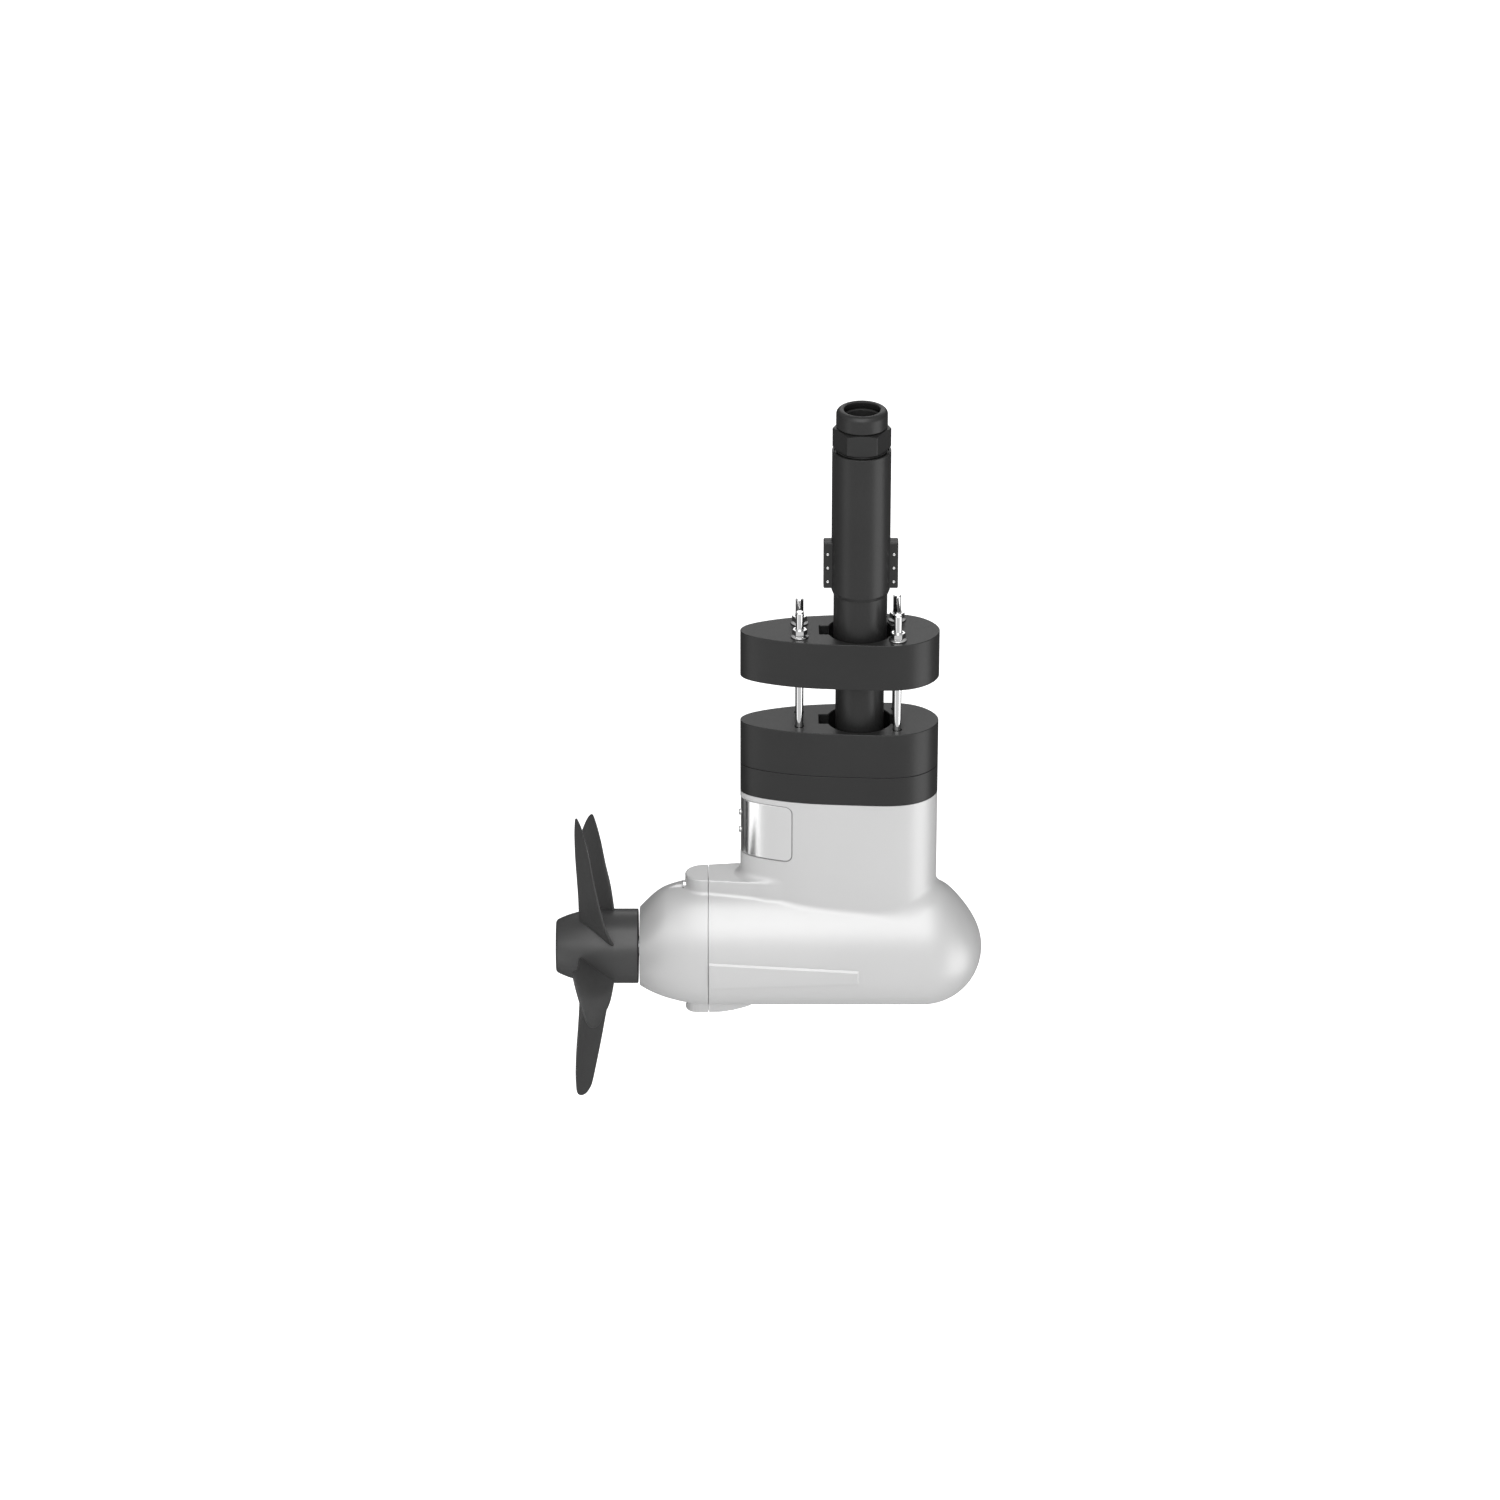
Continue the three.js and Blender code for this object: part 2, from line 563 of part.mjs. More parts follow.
// The dome nut: a skirt that rolls over into a rounded lip round the mouth.
function glandCap() {
  const skirtBottom = GLAND.hexTop + GAP;
  const { radius, top, mouth, roll, thread } = GLAND_CAP;
  const shoulder = top - roll;
  const lipFace = top - 4;
  return solid(
    turnedZ(
      loop([
        point(thread, skirtBottom),
        point(radius, skirtBottom),
        ...arc(radius - roll, shoulder, roll, roll, 0, 100, 5),
        point(mouth - 1.2, lipFace + 2),
        point(mouth - 0.6, lipFace),
        point(mouth, GLAND_SEAL.top + 0.5),
        point(thread, GLAND_SEAL.top - 2.5),
      ]),
      FINE,
    ),
  );
}
add("gland_cap", glandCap(), BLACK_PLASTIC);

// ---------------------------------------------------------------- propeller
// Value at a station along the blade, read from a smooth curve through the listed ones.
function alongBlade(values, station) {
  const curve = new THREE.SplineCurve(BLADE_STATIONS.map((s, i) => point(s, values[i])));
  let low = 0;
  let high = 1;
  for (let i = 0; i < 24; i += 1) {
    const middle = (low + high) / 2;
    if (curve.getPoint(middle).x < station) low = middle;
    else high = middle;
  }
  return curve.getPoint(low).y;
}

// One blade: a lens section laid on a helicoid of constant pitch, from inside the hub to the tip.
function blade(index) {
  const slices = 11;
  const rootStation = BLADE.rootRadius / BLADE.tipRadius;
  const place = (u, v, target) => {
    const outwards = Math.max(0, (u * slices - 1) / (slices - 1));
    const station = rootStation + (1 - rootStation) * (1 - (1 - outwards) ** 2);
    const spread = u > 0 ? 1 : 0;
    const radius = station * BLADE.tipRadius;
    const trailing = alongBlade(TRAILING_ANGLES, station);
    const leading = alongBlade(LEADING_ANGLES, station);
    const around = 2 * Math.PI * v;
    const chordPlace = 0.5 - 0.5 * Math.cos(around) * spread;
    const angle = trailing + (leading - trailing) * chordPlace;
    const thickness = THREE.MathUtils.lerp(BLADE_THICKNESS.root, BLADE_THICKNESS.tip, station);
    const tipFade = Math.sqrt(Math.max(0, 1 - outwards ** 6));
    const offset = 0.5 * thickness * tipFade * Math.sin(around) * spread;
    const helix = Math.atan2(BLADE.pitch, 2 * Math.PI * radius);
    const x = BLADE.x + (BLADE.pitch * angle) / 360 + BLADE.rake * station + offset * Math.cos(helix);
    const turn = radians(FIRST_BLADE_ANGLE + (360 / BLADE.count) * index + angle);
    const spin = turn - (offset * Math.sin(helix)) / radius;
    target.set(x, -radius * Math.sin(spin), POD_AXIS_Z + radius * Math.cos(spin));
  };
  return solid(new ParametricGeometry(place, slices, 10));
}

function propeller() {
  const pocketEnd = HUB.aftX + HUB_POCKET.depth;
  const aftAngle = THREE.MathUtils.radToDeg(Math.acos((HUB.aftX - HUB.centreX) / HUB.length));
  const hub = solid(
    turnedX(
      [
        point(HUB.aftX, 0),
        ...arc(HUB.centreX, 0, HUB.length, HUB.radius, aftAngle, 90, 5),
        point(HUB.foreX, HUB.radius),
        point(HUB.foreX, 0),
      ],
      FINE,
    ),
  );
  const blades = Array.from({ length: BLADE.count }, (_, i) => blade(i));
  const slot = PIN.radius + GAP;
  const slotEnd = PIN.halfLength + 1;
  return cut(
    union(hub, ...blades),
    rodX(HUB_POCKET.radius, HUB.aftX - 5, pocketEnd, COARSE),
    rodX(SHAFT.tailRadius + GAP, pocketEnd - 1, HUB.foreX + 5, COARSE),
    block(PIN.x - slot, HUB.foreX + 5, -slot, slot, POD_AXIS_Z - slotEnd, POD_AXIS_Z + slotEnd),
  );
}
add("propeller", propeller(), PROPELLER_BLACK);

const washerAft = HUB.aftX + HUB_POCKET.depth - GAP - 2;
const nutAft = washerAft - GAP - 10;
add("prop_washer", ringX(SHAFT.tailRadius + GAP, 15, washerAft, washerAft + 2, COARSE), BRIGHT_STEEL);
add(
  "prop_nut",
  solid(
    new THREE.CylinderGeometry(12.5, 12.5, 10, 6).rotateZ(Math.PI / 2).translate(nutAft + 5, 0, POD_AXIS_Z),
  ).subtract(rodX(SHAFT.threadRadius + GAP, nutAft - 5, nutAft + 15, COARSE)),
  BRIGHT_STEEL,
);
add(
  "drive_pin",
  rodZ(PIN.radius, POD_AXIS_Z - PIN.halfLength, POD_AXIS_Z + PIN.halfLength, SMALL, PIN.x, 0),
  BEARING_STEEL,
);

// ---------------------------------------------------------------- shaft and rotor
const shaftProfile = [
  point(SHAFT.aftX, 0),
  point(SHAFT.aftX, SHAFT.threadRadius - 1),
  point(SHAFT.aftX + 1, SHAFT.threadRadius),
  point(washerAft - GAP, SHAFT.threadRadius),
  point(washerAft - GAP, SHAFT.tailRadius),
  point(SHAFT.stepX, SHAFT.tailRadius),
  point(SHAFT.stepX, SHAFT.radius),
  point(SHAFT.foreX, SHAFT.radius),
  point(SHAFT.foreX, 0),
];
add(
  "motor_shaft",
  solid(turnedX(shaftProfile, COARSE)).subtract(
    rodZ(PIN.radius + GAP, POD_AXIS_Z - 15, POD_AXIS_Z + 15, SMALL, PIN.x, 0),
  ),
  BEARING_STEEL,
);
add("rotor_core", ringX(SHAFT.radius + GAP, ROTOR.outer, ROTOR.aftX, ROTOR.foreX, COARSE), LAMINATION);

// Curved magnets round the rotor core, each a sector of a ring.
for (let i = 0; i < ROTOR.magnets; i += 1) {
  const step = 360 / ROTOR.magnets;
  const from = i * step + 3;
  const to = (i + 1) * step - 3;
  const inner = ROTOR.outer + GAP + 0.4;
  const sector = [
    ...arc(0, 0, ROTOR.magnetOuter, ROTOR.magnetOuter, from, to, 3),
    ...arc(0, 0, inner, inner, to, from, 3),
  ];
  const geometry = new THREE.ExtrudeGeometry(new THREE.Shape(sector), {
    depth: ROTOR.foreX - ROTOR.aftX - 4,
    bevelEnabled: false,
  });
  geometry.rotateY(Math.PI / 2).translate(ROTOR.aftX + 2, 0, POD_AXIS_Z);
  add(`rotor_magnet_${i + 1}`, solid(geometry), MAGNET);
}

// ---------------------------------------------------------------- stator, bearings, seal and electronics
// The stator core: a ring with winding slots open towards the rotor.
function statorCore() {
  const slots = Array.from({ length: STATOR.slots }, (_, i) => {
    const slot = new THREE.BoxGeometry(STATOR.foreX - STATOR.aftX + 10, 7, STATOR.slotDepth);
    slot.translate(0, 0, STATOR.inner + STATOR.slotDepth / 2 - 2);
    slot.rotateX(radians((360 / STATOR.slots) * i));
    return solid(slot.translate((STATOR.aftX + STATOR.foreX) / 2, 0, POD_AXIS_Z));
  });
  return cut(ringX(STATOR.inner, STATOR.outer, STATOR.aftX, STATOR.foreX, FINE), ...slots);
}
add("stator_core", statorCore(), LAMINATION);

function windingRing(aftX) {
  const middle = (WINDING.inner + WINDING.outer) / 2;
  const halfHeight = (WINDING.outer - WINDING.inner) / 2;
  const halfLength = WINDING.length / 2;
  const section = arc(aftX + halfLength, middle, halfLength, halfHeight, 0, 300, 5);
  return solid(turnedX(loop(section), COARSE));
}
add("winding_aft", windingRing(STATOR.aftX - GAP - WINDING.length), COPPER);
add("winding_fore", windingRing(STATOR.foreX + GAP), COPPER);

const bearing = (aftX) => ringX(BEARING.inner, BEARING.outer, aftX, aftX + BEARING.width, COARSE);
add("bearing_aft", bearing(BEARING.aftX), BEARING_STEEL);
add("bearing_fore", bearing(BEARING.foreX), BEARING_STEEL);
add(
  "bearing_plate",
  cut(
    ringX(16, BEARING_PLATE.radius, BEARING_PLATE.aftX, BEARING_PLATE.foreX, FINE),
    rodX(BEARING.outer + GAP, BEARING_PLATE.aftX - 5, BEARING.foreX + BEARING.width + GAP, COARSE),
  ),
  CAST_SILVER,
);
add("shaft_seal", ringX(SEAL.inner, SEAL.outer, SEAL.aftX, SEAL.aftX + SEAL.width, COARSE), RUBBER);

// The controller board stands across the nose, with its power parts facing forwards.
function controllerBoard() {
  const parts = [-24, -8, 8, 24].map((y) =>
    block(BOARD.foreX - 1, BOARD.foreX + BOARD.partHeight, y - 6, y + 6, POD_AXIS_Z - 14, POD_AXIS_Z + 14),
  );
  return union(rodX(BOARD.radius, BOARD.aftX, BOARD.foreX, COARSE), ...parts);
}
add("controller_board", controllerBoard(), CIRCUIT_GREEN);

export default pod;
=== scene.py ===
"""The looks of an electric pod drive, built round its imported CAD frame.

Lengths are millimetres in this file and become metres when a mesh is made. The frame is the CAD's: +Z up,
+X towards the nose, the origin on the stem tube's axis where the lower plate meets the hull.
"""
import math

import bmesh
import bpy
import numpy as np
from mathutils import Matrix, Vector


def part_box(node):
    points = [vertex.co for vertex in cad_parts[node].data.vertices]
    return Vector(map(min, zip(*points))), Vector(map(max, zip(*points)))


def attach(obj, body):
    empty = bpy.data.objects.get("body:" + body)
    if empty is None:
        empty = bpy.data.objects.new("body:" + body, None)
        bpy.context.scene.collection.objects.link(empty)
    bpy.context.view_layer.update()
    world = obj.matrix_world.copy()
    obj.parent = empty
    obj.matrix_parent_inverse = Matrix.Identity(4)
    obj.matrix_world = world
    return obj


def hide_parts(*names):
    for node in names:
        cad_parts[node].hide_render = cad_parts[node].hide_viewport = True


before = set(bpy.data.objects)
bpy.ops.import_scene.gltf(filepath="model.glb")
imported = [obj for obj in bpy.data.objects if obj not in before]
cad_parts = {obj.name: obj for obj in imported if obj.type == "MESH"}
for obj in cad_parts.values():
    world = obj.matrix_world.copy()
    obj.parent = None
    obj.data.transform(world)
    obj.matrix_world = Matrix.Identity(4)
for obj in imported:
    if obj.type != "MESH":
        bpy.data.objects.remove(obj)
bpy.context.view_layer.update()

MM = 0.001


def limits(node):
    """Lowest and highest corner of a CAD node, in millimetres."""
    low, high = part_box(node)
    return np.array(low) / MM, np.array(high) / MM


def middle_of(node):
    low, high = limits(node)
    return (low + high) / 2


# -------- sizes, most of them from the frame
GAP = 0.3  # clearance that touching pieces keep
FINE = 128  # sides of the large round pieces
ROUND = 48  # sides of the small ones

AXIS_Z = middle_of("motor_shaft")[2]
ON_SHAFT = {"axis": "x", "centre": (0, AXIS_Z)}  # places a lathe body on the pod's axis
SHAFT_BORE = 10 + GAP  # in the bearings and the seal
SEAM_X = limits("pod_housing")[0][0]
TAIL_AFT_X = limits("tail_cone")[0][0]
POD_RADIUS = 59.6
POD_WALL = 6
NOSE_X = limits("pod_housing")[1][0] - POD_RADIUS
TAIL = {"centre": -145.5, "length": 101.5}
CROWN = {"rise": 0.22, "tail_run": 28, "nose_x": 124, "nose_run": 42}
RIDGE = {"aft": -174.6, "half": 18, "fore_half": 24.9, "fore": -92, "top": 84, "nose": 20}
RIDGE_TUCK = ((8, 1.2), (18, 5), (30, 12), (40, 20))  # how its sides turn in, deep inside the neck
BOSS = {"aft": -174.6, "half": 12, "flat": -145, "fore": -108, "bottom": -71.2, "nose": 14}
RIB = {"aft": SEAM_X + 0.6, "fore": 1, "lift": 2, "bevel": 2, "root": 3}
RIB_EDGES = {"aft_top": 11.4, "aft_bottom": -18.4, "fore_top": 2.6, "fore_bottom": -12.4}

OUTLINE_AFT, OUTLINE_FORE = limits("upper_plate")[0][0], limits("upper_plate")[1][0]
OUTLINE_WEIGHTS = (69.5, 50.4, 102.1, 22.9, 123.2, 101)
NECK_TOP = limits("pod_housing")[1][2]
NECK_HOLLOW = {"top": -100, "wall": 8}
PANEL_LOW, PANEL_HIGH = limits("aft_panel")
PANEL = {"corner": 7, "depth": 3, "thickness": 2.2, "sink": 0.5, "margin": 0.9, "edge": 0.5}
PLATE_HOLE = {"radius": 32.5, "reach": 40.4, "half_width": 10.5}
STUD_RADIUS = 4
STUD_FOOT = -98  # depth of the studs' holes
STUD_NAMES = ("aft_port", "aft_starboard", "fore_port", "fore_starboard")
STUD_PLACES = {name: middle_of("stud_" + name)[:2] for name in STUD_NAMES}
TAIL_SCREW = {"shank": 3, "head": 5.2, "slack": 0.6}
PANEL_SCREWS = ("panel_screw_1", "panel_screw_2")
PANEL_SCREW_HOLE = 2.3
EAR_SCREWS = [f"ear_screw_{row}_{n}" for row in ("aft", "fore") for n in (1, 2, 3)]
EAR_HOLE = {"shank": 1.4, "head": 1.9, "depth": 1.3}
BESIDE, BENEATH, AHEAD = 80, 90, 140  # reach past the castings on each side, below the axis and forwards


# -------- mesh helpers
def placed(name, data):
    """A new object in the scene."""
    obj = bpy.data.objects.new(name, data)
    bpy.context.scene.collection.objects.link(obj)
    return obj


def new_object(name, vertices, faces):
    """An object from points in millimetres, its faces turned outwards."""
    mesh = bpy.data.meshes.new(name)
    mesh.from_pydata((np.asarray(vertices, float) * MM).tolist(), [], faces)
    work = bmesh.new()
    work.from_mesh(mesh)
    bmesh.ops.recalc_face_normals(work, faces=work.faces)
    work.to_mesh(mesh)
    work.free()
    return placed(name, mesh)


def skin(name, rings, closed=False):
    """A body through rings of points: capped at both ends, or closed round on itself."""
    count, sides = len(rings), len(rings[0])
    faces = []
    for i in range(count if closed else count - 1):
        j = (i + 1) % count
        for k in range(sides):
            n = (k + 1) % sides
            faces.append((i * sides + k, i * sides + n, j * sides + n, j * sides + k))
    if not closed:
        faces.append(tuple(range(sides)))
        faces.append(tuple(range((count - 1) * sides, count * sides)))
    return new_object(name, np.concatenate(rings), faces)


def rounded(points, radius, steps=5, closed=True):
    """A polygon whose corners are arcs. radius is one number, or one for each corner."""
    points = [np.array(p, float) for p in points]
    count = len(points)
    radii = radius if hasattr(radius, "__len__") else [radius] * count
    made = []
    for i, corner in enumerate(points):
        if radii[i] == 0 or (not closed and i in (0, count - 1)):
            made.append(corner)
            continue
        back, ahead = points[i - 1] - corner, points[(i + 1) % count] - corner
        room = 0.49 * min(np.linalg.norm(back), np.linalg.norm(ahead))
        back, ahead = back / np.linalg.norm(back), ahead / np.linalg.norm(ahead)
        half = math.acos(np.clip(back @ ahead, -1, 1)) / 2
        reach = min(radii[i] / math.tan(half), room)
        bend = reach * math.tan(half)
        middle = back + ahead
        centre = corner + middle / np.linalg.norm(middle) * bend / math.sin(half)
        start, end = corner + back * reach - centre, corner + ahead * reach - centre
        first = math.atan2(start[1], start[0])
        sweep = (math.atan2(end[1], end[0]) - first + math.pi) % (2 * math.pi) - math.pi
        for k in range(steps + 1):
            angle = first + sweep * k / steps
            made.append(centre + bend * np.array((math.cos(angle), math.sin(angle))))
    return np.array(made)


def turned(name, profile, axis="z", sides=FINE, closed=False, centre=(0, 0)):
    """A lathe body: capped at both ends, or closed, where its profile is a loop.

    profile holds (radius, place along the axis); centre is where the axis stands.
    """
    angles = 2 * np.pi * np.arange(sides) / sides
    rings = []
    for radius, along in profile:
        a, b = centre[0] + radius * np.cos(angles), centre[1] + radius * np.sin(angles)
        level = np.full(sides, along)
        rings.append(np.stack({"x": (level, a, b), "y": (a, level, b), "z": (a, b, level)}[axis], 1))
    return skin(name, rings, closed)


def tube(name, inner, outer, low, high, edge=0.4, **place):
    """A round tube or washer with softened edges."""
    corners = [(inner, low), (outer, low), (outer, high), (inner, high)]
    return turned(name, rounded(corners, edge, 4), closed=True, **place)


def rod(name, radius, low, high, edge=0, **place):
    """A round bar, its end edges chamfered by edge."""
    profile = [(radius, low), (radius, high)]
    if edge:
        profile = [(radius - edge, low), (radius, low + edge), (radius, high - edge), (radius - edge, high)]
    return turned(name, profile, **place)


def block(name, low, high):
    spans = list(zip(low, high))
    corners = np.array([[x, y, z] for z in spans[2] for y in spans[1] for x in spans[0]])
    faces = [(0, 2, 3, 1), (4, 5, 7, 6), (0, 1, 5, 4), (2, 6, 7, 3), (0, 4, 6, 2), (1, 3, 7, 5)]
    return new_object(name, corners, faces)


def softened(obj, width, segments=4, angle=35):
    """Rounds the sharp edges of an object, for good."""
    bevel = obj.modifiers.new("edges", "BEVEL")
    bevel.width = width * MM
    bevel.segments = segments
    bevel.limit_method = "ANGLE"
    bevel.angle_limit = math.radians(angle)
    return applied(obj)


def applied(obj):
    """Makes an object's modifiers part of its mesh."""
    graph = bpy.context.evaluated_depsgraph_get()
    mesh = bpy.data.meshes.new_from_object(obj.evaluated_get(graph))
    obj.modifiers.clear()
    obj.data = mesh
    return obj


def combine(target, operation, *tools):
    """Joins, cuts or intersects target with the tools, which are used up."""
    for tool in tools:
        modifier = target.modifiers.new("combine", "BOOLEAN")
        modifier.operation = operation
        modifier.solver = "MANIFOLD"
        modifier.object = tool
    applied(target)
    for tool in tools:
        bpy.data.objects.remove(tool)
    return target


def cut(target, *tools):
    return combine(target, "DIFFERENCE", *tools)


def join(target, *tools):
    return combine(target, "UNION", *tools)


def keep(target, *tools):
    return combine(target, "INTERSECT", *tools)


def copy_of(obj, name):
    return placed(name, obj.data.copy())


# -------- materials
def noise(nodes, links, place, scale, detail, stretch=(1, 1, 1)):
    mapping = nodes.new("ShaderNodeMapping")
    mapping.inputs["Scale"].default_value = stretch
    links.new(place.outputs["Object"], mapping.inputs["Vector"])
    texture = nodes.new("ShaderNodeTexNoise")
    texture.inputs["Scale"].default_value = scale
    texture.inputs["Detail"].default_value = detail
    links.new(mapping.outputs["Vector"], texture.inputs["Vector"])
    return texture.outputs["Fac"]


def ramp(nodes, links, value, *span):
    """Maps a value: span is its least and greatest, then what these become."""
    remap = nodes.new("ShaderNodeMapRange")
    for socket, number in zip(("From Min", "From Max", "To Min", "To Max"), span):
        remap.inputs[socket].default_value = number
    links.new(value, remap.inputs["Value"])
    return remap.outputs["Result"]


NOISE_MIDDLE = (0.3, 0.7)  # where most of a noise lies
PLAIN, BRUSHED_Z = (1, 1, 1), (1, 1, 0.05)  # how a grain is stretched
LAMINATED, WOUND = (1.4, 0.04, 0.04), (0.2, 1, 1)


def finish_of(name, colour, rough, metal, grain, relief, tint, stretch=PLAIN, **sockets):
    """A material with broad colour drift, fine roughness variation and a fine grain.

    colour is linear and tint is its drift, rough is (smoothest, roughest), grain is noise per metre
    and relief is its height in mm. sockets sets other inputs of the shader.
    """
    material = bpy.data.materials.new(name)
    material.use_nodes = True
    nodes, links = material.node_tree.nodes, material.node_tree.links
    shader = nodes["Principled BSDF"]
    place = nodes.new("ShaderNodeTexCoord")
    drift = ramp(nodes, links, noise(nodes, links, place, 14, 3), *NOISE_MIDDLE, 0, 1)
    paint = nodes.new("ShaderNodeMix")
    paint.data_type = "RGBA"
    paint.inputs["A"].default_value = (*(c * (1 - tint) for c in colour), 1)
    paint.inputs["B"].default_value = (*(min(1, c * (1 + tint)) for c in colour), 1)
    links.new(drift, paint.inputs["Factor"])
    links.new(paint.outputs["Result"], shader.inputs["Base Color"])
    fine = noise(nodes, links, place, grain, 4, stretch)
    links.new(ramp(nodes, links, fine, *NOISE_MIDDLE, *rough), shader.inputs["Roughness"])
    bump = nodes.new("ShaderNodeBump")
    bump.inputs["Strength"].default_value = 0.35
    bump.inputs["Distance"].default_value = relief * MM
    links.new(fine, bump.inputs["Height"])
    links.new(bump.outputs["Normal"], shader.inputs["Normal"])
    shader.inputs["Metallic"].default_value = metal
    for socket, value in sockets.items():
        shader.inputs[socket.replace("_", " ")].default_value = value
    return material


def grey(level):
    return (level, level, level)


LOOKS = {
    # colour, roughness, metal, grain, relief, tint, stretch
    "cast_silver": finish_of("satin_silver_paint", grey(0.48), (0.38, 0.46), 0.3, 1400, 0.012, 0.012),
    "black_plastic": finish_of(
        "moulded_black_plastic", grey(0.015), (0.32, 0.44), 0, 1900, 0.02, 0.08, Specular_IOR_Level=0.36
    ),
    "propeller_black": finish_of("propeller_composite", grey(0.036), (0.34, 0.44), 0, 1100, 0.015, 0.08),
    "polished_steel": finish_of("polished_steel", grey(0.80), (0.07, 0.13), 1, 1500, 0.002, 0.02, BRUSHED_Z),
    "panel_steel": finish_of(
        "brushed_panel_steel", grey(0.94), (0.17, 0.23), 1, 1500, 0.002, 0.02, BRUSHED_Z
    ),
    "bright_steel": finish_of("bright_steel", grey(0.72), (0.16, 0.26), 1, 2200, 0.004, 0.03),
    "bearing_steel": finish_of("bearing_steel", (0.58, 0.59, 0.60), (0.2, 0.3), 1, 1600, 0.003, 0.03),
    "lamination": finish_of("lamination_steel", grey(0.26), (0.36, 0.5), 0.9, 1500, 0.05, 0.1, LAMINATED),
    "copper": finish_of("enamelled_copper", (0.60, 0.21, 0.07), (0.24, 0.4), 0.9, 700, 0.12, 0.15, WOUND),
    "magnet": finish_of("nickel_plate", (0.50, 0.49, 0.46), (0.22, 0.34), 1, 1200, 0.004, 0.04),
    "circuit_board": finish_of("circuit_board", (0.016, 0.105, 0.045), (0.3, 0.5), 0, 500, 0.02, 0.3),
    "rubber": finish_of("black_rubber", grey(0.006), (0.6, 0.78), 0, 1700, 0.03, 0.1),
}
SHARP_ANGLE = math.radians(32)


def dress(obj, look):
    obj.data.materials.clear()
    obj.data.materials.append(LOOKS[look])


def smooth(obj):
    """Smooth shading with true corners, in which the larger faces hold their own normals."""
    obj.data.shade_smooth()
    obj.data.set_sharp_from_angle(angle=SHARP_ANGLE)
    weighted = obj.modifiers.new("weighted", "WEIGHTED_NORMAL")
    weighted.keep_sharp = True
    return applied(obj)


def finished(obj, look, body, *nodes, shaded=False, slot=None):
    """Gives a piece its material, shading and body, and hides the CAD nodes that it stands for; slot is not
    used.
    """
    if not shaded:
        smooth(obj)
    dress(obj, look)
    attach(obj, body)
    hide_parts(*nodes)
    return obj


# -------- the teardrop outline
def half_width(u):
    """Half-width of the plates and the neck at u, 0 aft to 1 fore."""
    order = len(OUTLINE_WEIGHTS) - 1
    terms = (w * math.comb(order, i) * u**i * (1 - u) ** (order - i) for i, w in enumerate(OUTLINE_WEIGHTS))
    return sum(terms) * np.sqrt(np.maximum(u * (1 - u), 0))


def outline_place(turn):
    """Point of the outline at an angle: 0 at the aft tip, pi at the fore one, then back on the other side."""
    u = (1 - np.cos(turn)) / 2
    x = OUTLINE_AFT + (OUTLINE_FORE - OUTLINE_AFT) * u
    return np.stack((x, -np.sign(np.sin(turn)) * half_width(u)), -1)


def outline_normal(turn, reach=1e-3):
    along = outline_place(turn + reach) - outline_place(turn - reach)
    along /= np.linalg.norm(along, axis=-1, keepdims=True)
    return np.stack((along[..., 1], -along[..., 0]), -1)


def outline(inset=0.0, count=240):
    turn = 2 * np.pi * (np.arange(count) + 0.5) / count
    return outline_place(turn) - inset * outline_normal(turn)


def level_ring(points, z):
    return np.column_stack((points, np.full(len(points), z)))


def edge_steps(edge, steps=4):
    """How far a rounded edge stands in and down, from the face to the side."""
    angles = np.linspace(0, math.pi / 2, steps + 1)
    return [(edge * (1 - math.sin(a)), edge * (1 - math.cos(a))) for a in angles]


def slab(name, low, high, inset=0.0, edge=0.0, count=240):
    """The teardrop outline raised from low to high, with rounded rims."""
    if not edge:
        return skin(name, [level_ring(outline(inset, count), z) for z in (low, high)])
    rim = edge_steps(edge)
    rings = [level_ring(outline(inset + step_in, count), low + down) for step_in, down in rim]
    rings += [level_ring(outline(inset + step_in, count), high - down) for step_in, down in reversed(rim)]
    return skin(name, rings)


# -------- distance fields of the castings
# A field is a signed distance and its gradient: (distance, gx, gy, gz). z is measured from the pod's axis.
def eased(t):
    t = np.clip(t, 0, 1)
    return t * t * (3 - 2 * t)


def eased_slope(t):
    t = np.clip(t, 0, 1)
    return 6 * t * (1 - t)


def pod_field(x, y, z):
    """The pod: a capsule with a long elliptical tail, stretched upwards above its axis."""
    turn = np.clip((x - TAIL_AFT_X) / CROWN["tail_run"], 0, 1) * math.pi / 2
    near_nose = (CROWN["nose_x"] - x) / CROWN["nose_run"]
    rise = CROWN["rise"] * np.sin(turn) * eased(near_nose)
    tail_slope = np.cos(turn) * math.pi / 2 / CROWN["tail_run"] * eased(near_nose) * (turn > 0)
    nose_slope = -np.sin(turn) * eased_slope(near_nose) / CROWN["nose_run"]
    above = z > 0
    stretch = np.where(above, 1 + rise, 1)
    slope = np.where(above, CROWN["rise"] * (tail_slope + nose_slope), 0)
    lowered = z / stretch
    radial = np.sqrt(y * y + lowered * lowered)
    squeeze = POD_RADIUS / TAIL["length"]
    nose, tail = np.maximum(x - NOSE_X, 0), np.minimum(x - TAIL["centre"], 0) * squeeze
    reach = np.sqrt((nose + tail) ** 2 + radial**2) + 1e-9
    gx = (nose + tail * squeeze) / reach - lowered**2 * slope / (stretch * reach)
    gy, gz = y / reach, lowered / (stretch * reach)
    size = np.sqrt(gx * gx + gy * gy + gz * gz) + 1e-9
    return (reach - POD_RADIUS) / size, gx / size, gy / size, gz / size


def smooth_normals(polygon):
    along = np.roll(polygon, -1, 0) - np.roll(polygon, 1, 0)
    along /= np.linalg.norm(along, axis=1, keepdims=True)
    return np.stack((along[:, 1], -along[:, 0]), 1)


